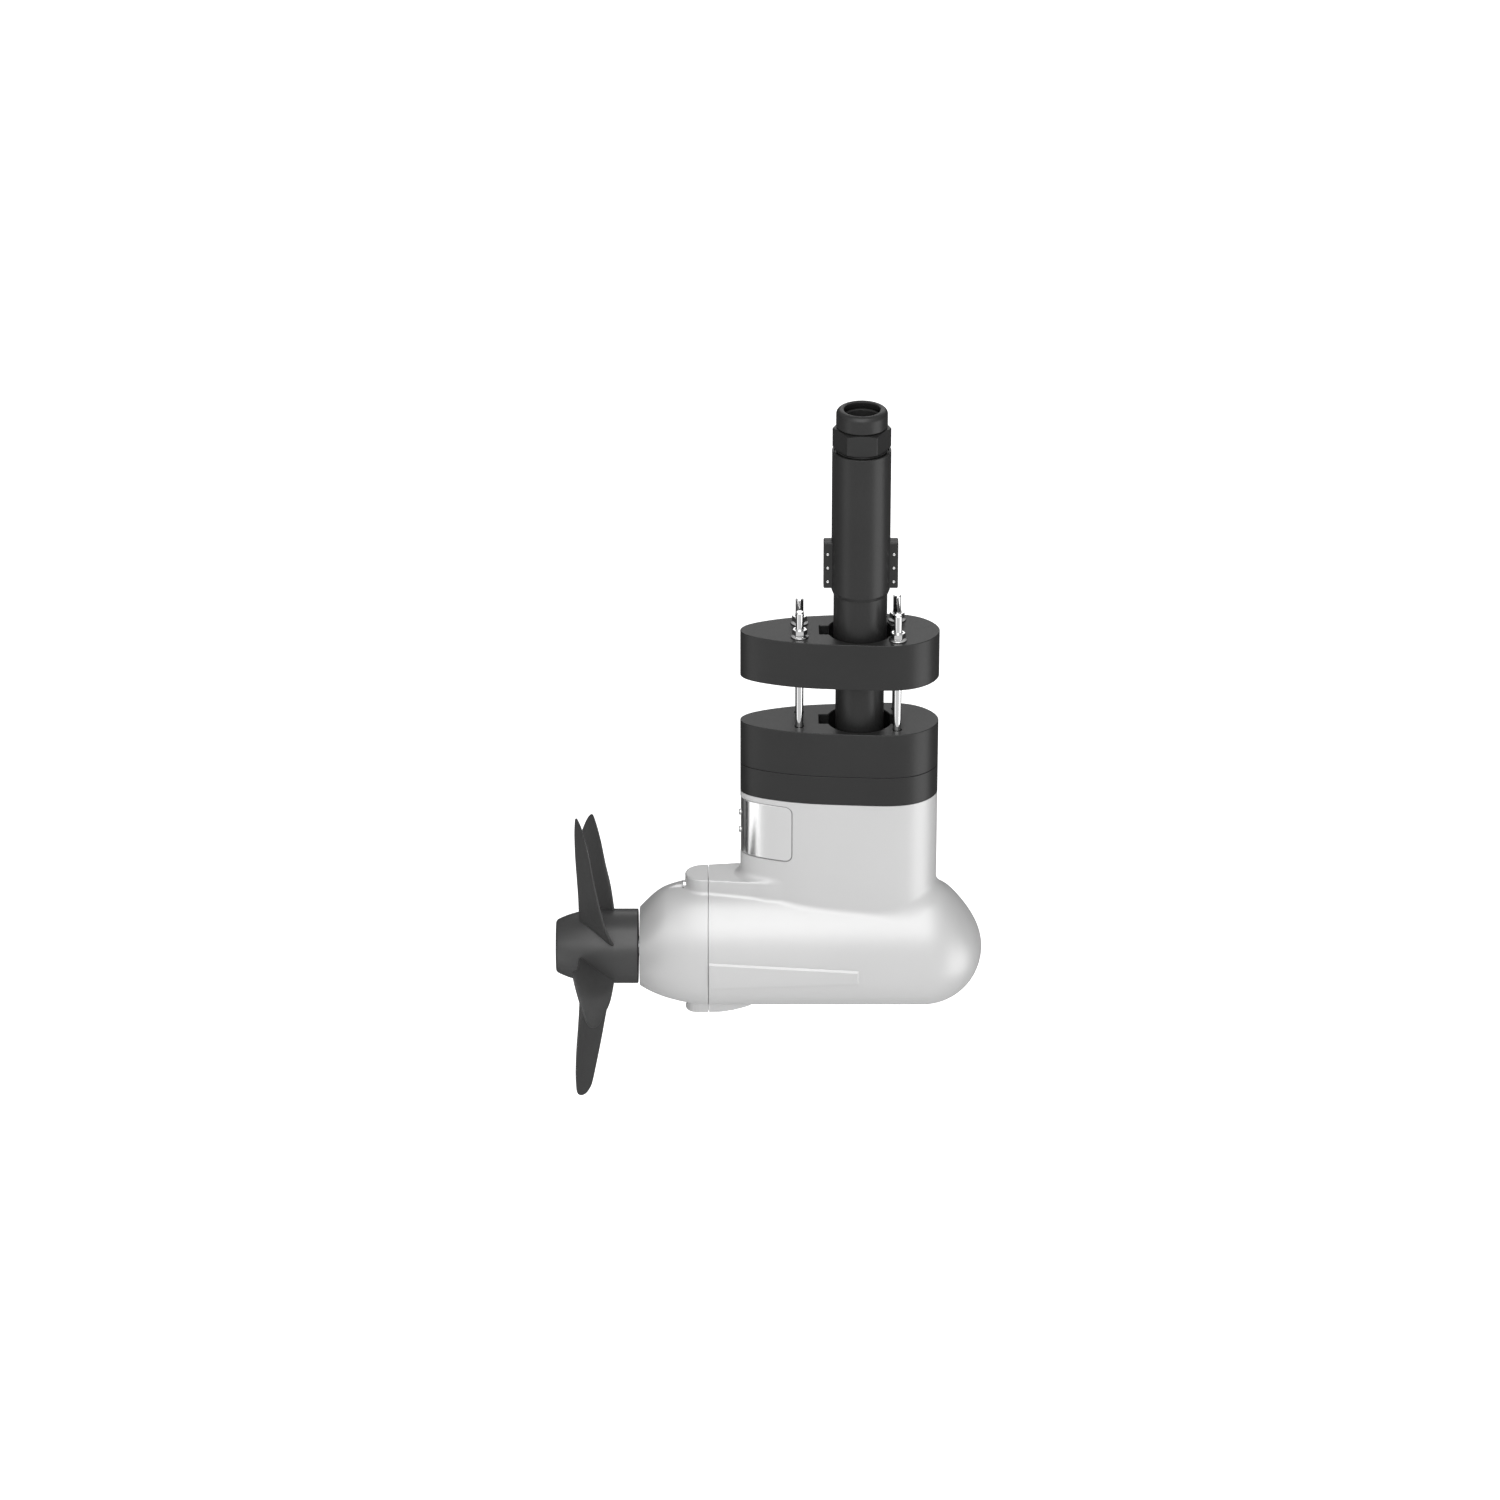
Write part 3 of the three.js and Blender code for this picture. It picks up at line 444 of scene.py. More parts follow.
def plan_field(x, y, polygon):
    """Signed distance to a counter-clockwise plan outline, with its smooth outward normal."""
    shape = np.broadcast(x, y).shape
    points = np.stack([np.broadcast_to(v, shape).ravel() for v in (x, y)], 1)
    starts, ends = polygon, np.roll(polygon, -1, 0)
    normals = smooth_normals(polygon)
    spans = ends - starts
    lengths = (spans**2).sum(1)
    made = np.empty((3, len(points)))
    for first in range(0, len(points), 8192):
        part = points[first : first + 8192]
        offset = part[:, None] - starts
        t = np.clip((offset * spans).sum(2) / lengths, 0, 1)
        away = offset - t[..., None] * spans
        nearest = (away**2).sum(2).argmin(1)
        rows = np.arange(len(part))
        share = t[rows, nearest][:, None]
        normal = normals[nearest] * (1 - share) + np.roll(normals, -1, 0)[nearest] * share
        normal /= np.linalg.norm(normal, axis=1, keepdims=True)
        off = away[rows, nearest]
        side = np.where((off * normal).sum(1) < 0, -1, 1)
        made[:, first : first + len(part)] = side * np.linalg.norm(off, axis=1), normal[:, 0], normal[:, 1]
    return [v.reshape(shape) for v in made]


def mixed(a, b, weight_a, weight_b, chooses_a):
    """Gradient where two fields meet: weighted inside the fillet, the chosen one's outside it."""
    size = np.hypot(weight_a, weight_b)
    plain = size < 1e-9
    safe = np.where(plain, 1, size)
    share_a = np.where(plain, chooses_a, weight_a / safe)
    share_b = np.where(plain, ~chooses_a, weight_b / safe)
    return [share_a * ga + share_b * gb for ga, gb in zip(a[1:], b[1:])]


def joined(a, b, fillet):
    """Union of two fields with a fillet of that radius in the corner."""
    in_a, in_b = np.maximum(fillet - a[0], 0), np.maximum(fillet - b[0], 0)
    distance = np.maximum(fillet, np.minimum(a[0], b[0])) - np.hypot(in_a, in_b)
    return (distance, *mixed(a, b, in_a, in_b, a[0] < b[0]))


def shared(a, b, edge):
    """Intersection of two fields with a rounded edge of that radius."""
    in_a, in_b = np.maximum(edge + a[0], 0), np.maximum(edge + b[0], 0)
    distance = np.minimum(-edge, np.maximum(a[0], b[0])) + np.hypot(in_a, in_b)
    return (distance, *mixed(a, b, in_a, in_b, a[0] > b[0]))


def widening_plan(aft, nose, half, fore, fore_half, tuck=()):
    """A plan with a round aft end and straight sides. Its fore end turns in by the steps of tuck."""
    angles = np.radians(np.linspace(90, 270, 33))
    round_end = np.stack((aft + nose + nose * np.cos(angles), half * np.sin(angles)), 1)
    sides = [np.linspace(0, 1, 9)[1:, None] * (np.array((fore, s * fore_half)) - round_end[e]) + round_end[e]
             for s, e in ((-1, -1), (1, 0))]
    turned_in = [(fore + ahead, fore_half - inwards) for ahead, inwards in tuck]
    near = [(x, -y) for x, y in turned_in]
    return np.concatenate((round_end, sides[0], *([near, turned_in[::-1]] if tuck else []), sides[1][::-1]))


PLANS = {
    "neck": outline(0, 160),
    "ridge": widening_plan(
        RIDGE["aft"], RIDGE["nose"], RIDGE["half"], RIDGE["fore"], RIDGE["fore_half"], RIDGE_TUCK
    ),
    "boss": widening_plan(BOSS["aft"], BOSS["nose"], BOSS["half"], BOSS["fore"], BOSS["half"] - 3),
}


def upright(plan):
    distance, nx, ny = plan
    return distance, nx, ny, np.zeros_like(distance)


def below(z, top):
    return z - top, np.zeros_like(z), np.zeros_like(z), np.ones_like(z)


def above(z, bottom):
    return bottom - z, np.zeros_like(z), np.zeros_like(z), -np.ones_like(z)


def boss_underside(x, z):
    """The boss's lower face: flat aft, and curving up forwards."""
    run, climb, most = 31, 5, 1.3
    share = np.clip((x - BOSS["flat"]) / run, 0, most)
    level = BOSS["bottom"] + climb * share**2
    slope = 2 * climb * share / run
    size = np.sqrt(1 + slope**2)
    return (level - z) / size, slope / size, np.zeros_like(z), -1 / size


RIDGE_FILLET, BOSS_FILLET = 8, 2.2


def casting_field(x, y, z, plans):
    """The whole silver casting: pod, neck, ridge and boss, with their fillets."""
    neck_foot, ridge_foot, boss_head = 20, 40, -30  # where each ends, inside the pod
    ridge_edge, boss_edge = 1.6, 1.4
    neck = shared(upright(plans["neck"]), above(z, neck_foot), 0)
    ridge = shared(upright(plans["ridge"]), below(z, RIDGE["top"]), ridge_edge)
    ridge = shared(ridge, above(z, ridge_foot), 0)
    boss = shared(upright(plans["boss"]), boss_underside(x, z), boss_edge)
    boss = shared(boss, below(z, boss_head), 0)
    upper = joined(neck, ridge, RIDGE_FILLET)
    # the neck's fillet on the pod grows forwards
    fillet = 2.5 + 0.8 * eased((x + 125) / 60) + 7 * eased((x - 15) / 55)
    whole = joined(pod_field(x, y, z), upper, fillet)
    return joined(whole, boss, BOSS_FILLET)


def casting_at(points):
    x, y, z = points.T
    plans = {name: plan_field(x, y, polygon) for name, polygon in PLANS.items()}
    made = casting_field(x, y, z, plans)
    return made[0], np.stack(made[1:], 1)


# -------- surface nets
def net_faces(inside, ids):
    """Quads across every grid edge whose ends lie on different sides of the surface."""
    quads = []
    for axis in range(3):
        turned_inside = np.moveaxis(inside, axis, 0)
        turned_ids = np.moveaxis(ids, axis, 0)
        low, high = turned_inside[:-1, 1:-1, 1:-1], turned_inside[1:, 1:-1, 1:-1]
        near, far = slice(None, -1), slice(1, None)
        around = [turned_ids[:, a, b] for a, b in ((near, near), (far, near), (far, far), (near, far))]
        for change, step in ((low & ~high, 1), (high & ~low, -1)):
            quads.append(np.stack([a[change] for a in around[::step]], 1)[:, :: (1 if axis != 1 else -1)])
    return np.concatenate(quads)


def surface_net(low, high, step, depth=0.0):
    """Points and quads on the casting's surface sunk by depth, closed at the walls of the box."""
    axes = [np.arange(a, b + step, step) for a, b in zip(low, high)]
    x, y = axes[0][:, None, None], axes[1][None, :, None]
    plans = {key: plan_field(x, y, polygon) for key, polygon in PLANS.items()}
    z = axes[2][None, None, :]
    values = np.empty([len(a) for a in axes], np.float32)
    layers = 12
    for first in range(0, len(axes[0]), layers):
        part = slice(first, first + layers)
        some = {key: [v[part] for v in plan] for key, plan in plans.items()}
        levels = z + np.zeros_like(x[part] * y)
        values[part] = casting_field(x[part], y, levels, some)[0] + depth
    for axis in range(3):
        for end in (0, -1):
            np.moveaxis(values, axis, 0)[end] = step
    inside = values < 0
    shape = tuple(n - 1 for n in inside.shape)
    corners = [(i, j, k) for i in (0, 1) for j in (0, 1) for k in (0, 1)]
    windows = [tuple(slice(at, at + size) for at, size in zip(corner, shape)) for corner in corners]
    filled = sum(inside[window].astype(np.int8) for window in windows)
    active = (filled > 0) & (filled < 8)
    cells = np.argwhere(active)
    ids = np.full(shape, -1)
    ids[active] = np.arange(len(cells))
    place, crossings = np.zeros((len(cells), 3)), np.zeros(len(cells))
    for a in corners:
        for axis in range(3):
            if a[axis]:
                continue
            b = tuple(1 if n == axis else a[n] for n in range(3))
            at_a, at_b = (values[tuple((cells + c).T)] for c in (a, b))
            crosses = (at_a < 0) != (at_b < 0)
            share = np.where(crosses, at_a / np.where(crosses, at_a - at_b, 1), 0)
            place += crosses[:, None] * (np.array(a) + share[:, None] * (np.array(b) - np.array(a)))
            crossings += crosses
    points = np.array([a[0] for a in axes]) + step * (cells + place / crossings[:, None])
    return points, net_faces(inside, ids)


def onto_surface(points, rounds=4, most=1.2):
    """Moves points onto the casting's surface along its gradient."""
    for _ in range(rounds):
        distance, gradient = casting_at(points)
        points = points - np.clip(distance, -most, most)[:, None] * gradient
    return points


def raised(points):
    """Points measured from the pod's axis, in the frame."""
    return points + np.array((0, 0, AXIS_Z))


def read(items, attribute, width=1, kind=float):
    """An attribute of all of a mesh's items, as an array."""
    made = np.empty(len(items) * width, kind)
    items.foreach_get(attribute, made)
    return made.reshape(-1, width) if width > 1 else made


def polish(obj):
    """Gives a cut casting the exact normals of its own surface, and keeps true corners elsewhere."""
    mesh = obj.data
    mesh.shade_smooth()
    mesh.set_sharp_from_angle(angle=SHARP_ANGLE)
    points = read(mesh.vertices, "co", 3) / MM - np.array((0, 0, AXIS_Z))
    distance, gradient = casting_at(points)
    corner_vertex = read(mesh.loops, "vertex_index", kind=int)
    faces = np.repeat(read(mesh.polygons, "normal", 3), read(mesh.polygons, "loop_total", kind=int), 0)
    normals = read(mesh.corner_normals, "vector", 3)
    own = gradient[corner_vertex]
    own /= np.linalg.norm(own, axis=1, keepdims=True)
    near, agreeing = 0.08, 0.9  # mm off the surface, and cosine to the face's own normal
    on_skin = (np.abs(distance[corner_vertex]) < near) & ((own * faces).sum(1) > agreeing)
    normals[on_skin] = own[on_skin]
    mesh.normals_split_custom_set(normals.tolist())


# -------- the silver castings
def rib(side):
    """The raised, tapering band on one flank, bevelled down into the pod."""
    columns, rows = 48, 10
    lower_share = 0.25  # its lower edge is bevelled only a quarter as far

    def face(lift, shrink):
        share = np.linspace(0, 1, columns + 1)[:, None]
        across = np.linspace(0, 1, rows + 1)[None, :]
        x = RIB["aft"] + (RIB["fore"] - shrink - RIB["aft"]) * share
        taper = (x - RIB["aft"]) / (RIB["fore"] - RIB["aft"])
        top = RIB_EDGES["aft_top"] + (RIB_EDGES["fore_top"] - RIB_EDGES["aft_top"]) * taper - shrink
        bottom = RIB_EDGES["aft_bottom"] + (RIB_EDGES["fore_bottom"] - RIB_EDGES["aft_bottom"]) * taper
        bottom = bottom + lower_share * shrink
        z = bottom + (top - bottom) * across
        x = x + 0 * z
        stretch = np.where(z > 0, 1 + CROWN["rise"], 1)
        y = np.sqrt(POD_RADIUS**2 - (z / stretch) ** 2) + lift
        return raised(np.stack((x, side * y, z), -1).reshape(-1, 3)).reshape(columns + 1, rows + 1, 3)

    foot = face(0.1, 0.2)
    return shell(f"rib_{side}", face(RIB["lift"], RIB["bevel"]), [foot], face(-RIB["root"], 0))


def shell(name, outer, borders, inner):
    """A closed body between two grids of points, whose rims are joined through border grids."""
    columns, rows = outer.shape[:2]
    grid = np.arange(columns * rows).reshape(columns, rows)
    rim = np.concatenate((grid[:, 0], grid[-1, 1:], grid[-2::-1, -1], grid[0, -2:0:-1]))

    def patch(start):
        ids = grid + start
        return np.stack((ids[:-1, :-1], ids[1:, :-1], ids[1:, 1:], ids[:-1, 1:]), -1).reshape(-1, 4).tolist()

    points = [outer.reshape(-1, 3), inner.reshape(-1, 3)]
    faces = patch(0) + patch(grid.size)
    rims = [rim]
    start = 2 * grid.size
    for border in borders:
        points.append(border.reshape(-1, 3)[rim])
        rims.append(np.arange(len(rim)) + start)
        start += len(rim)
    rims.append(rim + grid.size)
    for a, b in zip(rims[:-1], rims[1:]):
        faces += np.stack((a, np.roll(a, -1), np.roll(b, -1), b), 1).tolist()
    return new_object(name, np.concatenate(points), faces)


def side_prism(name, margin):
    """The panel's side view, with its round fore corners, right across the object."""
    left, right = PANEL_LOW[0] - 10, PANEL_HIGH[0] + margin
    low, high = PANEL_LOW[2] - margin, PANEL_HIGH[2] + margin
    corner = PANEL["corner"] + margin
    view = rounded([(left, low), (right, low), (right, high), (left, high)], [0, corner, corner, 0], 10)
    rings = [np.column_stack((view[:, 0], np.full(len(view), y), view[:, 1])) for y in (-60, 60)]
    return skin(name, rings)


def screw_ways(node):
    """The hole that a tail screw leaves: its head's counterbore and its shank."""
    low, high = limits(node)
    head = (high[2] - low[2]) / 2
    seat = low[0] + (TAIL_SCREW["head"] + GAP)
    place = {"axis": "x", "centre": (0, middle_of(node)[2])}
    return (
        rod("shank_way", TAIL_SCREW["shank"] + GAP, seat - 1, high[0] + 2, sides=32, **place),
        rod("head_way", head + TAIL_SCREW["slack"], seat - 30, seat, sides=ROUND, **place),
    )


def panel_screw_ways(beyond):
    """The holes of the panel's screws, which run past them by beyond."""
    ways = []
    for node in PANEL_SCREWS:
        low, high = limits(node)
        place = {"axis": "x", "centre": (0, middle_of(node)[2])}
        ways.append(rod("way", PANEL_SCREW_HOLE, low[0], high[0] + beyond, sides=32, **place))
    return ways


def whole_casting():
    margin, step = 4, 1.6
    low = np.array((TAIL_AFT_X - margin, -POD_RADIUS - margin, BOSS["bottom"] - margin))
    high = np.array((NOSE_X + POD_RADIUS + margin, POD_RADIUS + margin, NECK_TOP - AXIS_Z + margin))
    points, faces = surface_net(low, high, step)
    inner = np.all((points > low + 2 * step) & (points < high - 2 * step), 1)
    points[inner] = onto_surface(points[inner])
    return new_object("casting", raised(points), faces.tolist())


def sunk_casting(depth):
    """The casting's skin sunk by depth, near the seam only."""
    low = np.array((SEAM_X - 8, -POD_RADIUS - 4, BOSS["bottom"] - 4))
    high = np.array((SEAM_X + 6, POD_RADIUS + 4, RIDGE["top"] + 4))
    points, faces = surface_net(low, high, 1.0, depth)
    return new_object("sunk", raised(points), faces.tolist())


def pod_cavity():
    angles = np.radians(np.linspace(0, 88, 24))
    radius = POD_RADIUS - POD_WALL
    nose = [(radius * math.cos(a), NOSE_X + radius * math.sin(a)) for a in angles]
    profile = [(radius, SEAM_X - 10), *nose]
    return turned("pod_cavity", profile, **ON_SHAFT)


def casting_between(name, aft, fore):
    """A block round all of the casting that lies between two places along X."""
    return block(name, (aft, -BESIDE, AXIS_Z - BENEATH), (fore, BESIDE, NECK_TOP))


def silver_castings():
    housing = whole_casting()
    tail = copy_of(housing, "tail_casting")
    finish_housing(housing)
    finish_tail(tail)


def finish_housing(housing):
    keep(housing, casting_between("fore_half", SEAM_X, AHEAD))
    join(housing, rib(-1), rib(1))
    recess = side_prism("recess", PANEL["margin"])
    cut(recess, slab("core", PANEL_LOW[2] - 9, PANEL_HIGH[2] + 9, PANEL["depth"]))
    tube_high = limits("stem_tube")[1]
    stud_way = STUD_RADIUS + GAP
    cut(
        housing,
        recess,
        pod_cavity(),
        slab("neck_hollow", AXIS_Z + 30, NECK_HOLLOW["top"], NECK_HOLLOW["wall"], count=120),
        rod("tube_way", tube_high[0] + GAP, NECK_HOLLOW["top"] - 5, NECK_TOP + 5),
        *[rod("stud_way", stud_way, STUD_FOOT, 0, sides=32, centre=at) for at in STUD_PLACES.values()],
        *screw_ways("tail_screw_top"),
        *screw_ways("tail_screw_bottom"),
    )
    for way in panel_screw_ways(1):
        cut(housing, way)
    housing.name = "housing_casting"
    polish(housing)
    finished(housing, "cast_silver", "drive", "pod_housing", shaded=True)


def finish_tail(tail):
    groove, land = 0.8, 1.6  # the seam's width, and the depth of the land at its bottom
    keep(tail, casting_between("aft_half", TAIL_AFT_X, SEAM_X - groove))
    joint_land = keep(sunk_casting(land), casting_between("slice", SEAM_X - groove - 3, SEAM_X - GAP))
    spigot = POD_RADIUS - POD_WALL - GAP
    plug = rod("spigot", spigot, SEAM_X - 6, SEAM_X + 10, **ON_SHAFT)
    join(tail, joint_land, plug)
    bearing_low, bearing_high = limits("bearing_aft")
    seal_high = limits("shaft_seal")[1]
    seat, mouth = bearing_high[0] + GAP, spigot - 6
    hollow = [(26, seat), (42, seat + 8), (49, seat + 22), (mouth, SEAM_X - 8), (mouth, SEAM_X + 12)]
    cut(
        tail,
        turned("hollow", hollow, **ON_SHAFT),
        rod("bearing_seat", bearing_high[1] + GAP, bearing_low[0] - GAP, seat + 1, **ON_SHAFT),
        rod("shaft_way", 12, TAIL_AFT_X - 5, seat, **ON_SHAFT),
        rod("seal_seat", seal_high[1] + GAP, TAIL_AFT_X - 5, seal_high[0] + GAP, **ON_SHAFT),
        tube("ring_groove", spigot - 2.5, spigot + 5, SEAM_X + 2.7, SEAM_X + 6.7, 0, **ON_SHAFT),
        *screw_ways("tail_screw_top"),
        *screw_ways("tail_screw_bottom"),
    )
    polish(tail)
    finished(tail, "cast_silver", "drive", "tail_cone", shaded=True)


# -------- steel panel round the neck's aft edge
def steel_panel():
    def face(inset, shrink):
        columns, rows = 96, 40
        low, high = PANEL_LOW[2] + shrink, PANEL_HIGH[2] - shrink
        corner = PANEL["corner"] - shrink
        ease = np.sin(np.linspace(-1, 1, rows + 1) * math.pi / 2)
        z = (low + high) / 2 + (high - low) / 2 * ease
        from_edge = np.minimum(z - low, high - z)
        reach = np.clip(corner - from_edge, 0, corner)
        fore = PANEL_HIGH[0] - shrink - (corner - np.sqrt(corner**2 - reach**2))
        share = (fore - OUTLINE_AFT) / (OUTLINE_FORE - OUTLINE_AFT)
        end = np.arccos(1 - 2 * share)
        turn = np.linspace(-1, 1, columns + 1)[:, None] * end[None, :] + 1e-9
        flat = outline_place(turn) - inset * outline_normal(turn)
        return np.concatenate((flat, np.broadcast_to(z[None, :, None], (*flat.shape[:2], 1))), -1)

    sink, edge = PANEL["sink"], PANEL["edge"]
    rims = [face(sink + 0.3 * edge, 0.3 * edge), face(sink + edge, 0)]
    panel = shell("steel_panel", face(sink, edge), rims, face(sink + PANEL["thickness"], 0))
    for way in panel_screw_ways(0):
        cut(panel, way)
    finished(panel, "panel_steel", "drive", "aft_panel", slot="polished_steel")


# -------- fasteners
def socket_screw(name, node, head_length, shank, dome, axis="x"):
    """A screw lying along X with its head aft, or along Y with its head to -Y, and a hexagon socket."""
    low, high = limits(node)
    along = 0 if axis == "x" else 1
    across = 1 - along
    radius = (high[2] - low[2]) / 2
    start, end = low[along], high[along]
    centre = ((low[across] + high[across]) / 2, (low[2] + high[2]) / 2)
    angles = np.radians(np.linspace(75, 0, 8))
    arc = [(radius * math.cos(a), start + dome * (1 - math.sin(a))) for a in angles]
    neck = start + head_length
    profile = [*arc, (radius, neck), (shank, neck + 0.02), (shank, end - 0.4), (shank - 0.4, end)]
    screw = turned(name, profile, axis=axis, sides=ROUND, centre=centre)
    corner, depth = radius * 0.52, 0.55 * head_length
    socket = [(corner, start - 1), (corner, start + depth)]
    socket = turned("socket", socket, axis=axis, sides=6, centre=centre)
    return cut(screw, socket)


def fasteners():
    for place in ("top", "bottom"):
        node = "tail_screw_" + place
        screw = socket_screw("tail_bolt_" + place, node, TAIL_SCREW["head"], TAIL_SCREW["shank"], 0.8)
        finished(screw, "bright_steel", "drive", node)
    for n in (1, 2):
        screw = socket_screw(f"panel_bolt_{n}", f"panel_screw_{n}", 1.8, 2, 1.2)
        finished(screw, "bright_steel", "drive", f"panel_screw_{n}")
    for node in EAR_SCREWS:
        screw = socket_screw(node.replace("screw", "bolt"), node, 1, 1.1, 0.4, axis="y")
        finished(screw, "bright_steel", "drive", node)


def studs_and_nuts():
    flats, chamfer = 13, 1.0
    corner = flats / math.sqrt(3)
    for name, place in STUD_PLACES.items():
        low, high = limits("stud_" + name)
        stud = rod("stud_bar_" + name, STUD_RADIUS, low[2], high[2], chamfer, sides=64, centre=place)
        finished(stud, "polished_steel", "drive", "stud_" + name)

        low, high = limits("nut_" + name)
        foot, top, rim = low[2], high[2], (high[0] - low[0]) / 2
        hexagon = turned("hexagon", [(corner, foot + 1), (corner, top)], sides=6, centre=place)
        crown = [(corner + 2, foot), (corner + 2, top - 2.0), (flats / 2 - 0.3, top - 0.02), (2, top)]
        nut = keep(hexagon, turned("crown", crown, sides=96, centre=place))
        cone, core = foot + 2.6, 2
        flange = [(core, foot), (rim, foot), (rim, foot + 1.0), (flats / 2 - 0.2, cone), (core, cone)]
        flange = rounded(flange, [0, 0.25, 0.4, 0.6, 0], 4)
        join(nut, turned("flange", flange, sides=96, centre=place))
        hole = STUD_RADIUS + GAP
        bore = [(5.0, foot - 1), (5.0, foot), (hole, foot + 0.7)]
        bore += [(hole, top - 0.6), (4.9, top), (4.9, top + 1)]
        cut(nut, turned("bore", bore, sides=64, centre=place))
        nut.name = "flange_nut_" + name
        finished(nut, "polished_steel", "clamp_plate", "nut_" + name)


# -------- ring and clamp plates
def keyhole(spare):
    """The plates' tube hole and its two keyways, grown by spare."""
    radius, half = PLATE_HOLE["radius"] + spare, PLATE_HOLE["half_width"] + spare
    reach = PLATE_HOLE["reach"] + spare
    start = math.asin(half / radius)
    upper = np.linspace(start, math.pi - start, 40)
    arc = np.stack((radius * np.cos(upper), radius * np.sin(upper)), 1)
    right = rounded([arc[-1] * (-1, -1), (reach, -half), (reach, half), arc[0]], 1.2, 4, closed=False)
    half_loop = np.concatenate((right[:-1], arc[:-1]))
    return np.concatenate((half_loop, -half_loop))


def flared(name, ring_at, low, high, lead=0.7):
    """A cutter for a hole whose two mouths are eased by lead."""
    places = [(low - 2, lead), (low, lead), (low + lead, 0), (high - lead, 0), (high, lead), (high + 2, lead)]
    return skin(name, [level_ring(ring_at(spare), z) for z, spare in places])


def circle_at(place, radius):
    angles = 2 * np.pi * np.arange(64) / 64
    return lambda spare: np.array(place) + (radius + spare) * np.stack((np.cos(angles), np.sin(angles)), 1)


def stud_holes(low, high):
    hole = STUD_RADIUS + 0.6
    return [flared("hole", circle_at(place, hole), low, high, 0.4) for place in STUD_PLACES.values()]


def plates():
    for node, name, body in (
        ("lower_plate", "hull_plate_lower", "drive"),
        ("upper_plate", "hull_plate_upper", "clamp_plate"),
    ):
        low, high = (corner[2] for corner in limits(node))
        plate = slab(name, low, high, edge=0.7)
        cut(plate, flared("keyhole", keyhole, low, high))
        cut(plate, *stud_holes(low, high))
        finished(plate, "black_plastic", body, node)
    low, high = (corner[2] for corner in limits("spacer_ring"))
    ring = slab("neck_ring", low, high, edge=0.35)
    bore = limits("stem_tube")[1][0] + GAP
    cut(ring, flared("bore", circle_at((0, 0), bore), low, high, 0.4))
    cut(ring, *stud_holes(low, high))
    finished(ring, "black_plastic", "drive", "spacer_ring")


# -------- tubes, sleeve and gland
def tubes():
    stem_low, stem_high = limits("stem_tube")
    stem = tube("stem_pipe", 20, stem_high[0], stem_low[2], stem_high[2], 0.6)
    finished(stem, "black_plastic", "drive", "stem_tube")
    low, high = limits("collar_tube")
    collar = tube("collar_pipe", stem_high[0] + GAP, high[0], low[2], high[2], 0.6)
    finished(collar, "black_plastic", "drive", "collar_tube")


def sleeves():
    low, high = limits("sleeve_front")
    collar = limits("collar_tube")[1][0]
    inner, outer, chamfer = collar + GAP, 29, 4
    foot, top, clear = low[2], high[2], 5
    corners = [(inner, foot), (inner + 0.5, foot), (outer, foot + chamfer), (outer, top), (inner, top)]
    sleeve = turned("sleeve", rounded(corners, [0, 0.2, 1.2, 0.5, 0], 4), closed=True)
    ear_foot, ear_top, ear_half, edge = foot + 6.3, foot + 55.1, 7, 1.3
    ears = softened(block("ears", (low[0], -ear_half, ear_foot), (high[0], ear_half, ear_top)), edge)
    join(sleeve, ears)
    cut(sleeve, rod("way", inner, foot - clear, top + clear))
    for side, place in ((-1, "front"), (1, "back")):
        near, far = sorted((side * GAP / 2, side * (10 - low[1])))
        half = copy_of(sleeve, "sleeve_shell_" + place)
        keep(half, block("side", (-50, near, foot - clear), (50, far, top + clear)))
        for node in EAR_SCREWS:
            start, end = limits(node)[0][1], limits(node)[1][1]
            line = {"axis": "y", "centre": (middle_of(node)[0], middle_of(node)[2])}
            cut(half, rod("shank", EAR_HOLE["shank"], start - 1, end + 0.4, sides=24, **line))
            cut(half, rod("head", EAR_HOLE["head"], start - 1, start + EAR_HOLE["depth"], sides=32, **line))
        finished(half, "black_plastic", "drive", "sleeve_" + place)
    bpy.data.objects.remove(sleeve)


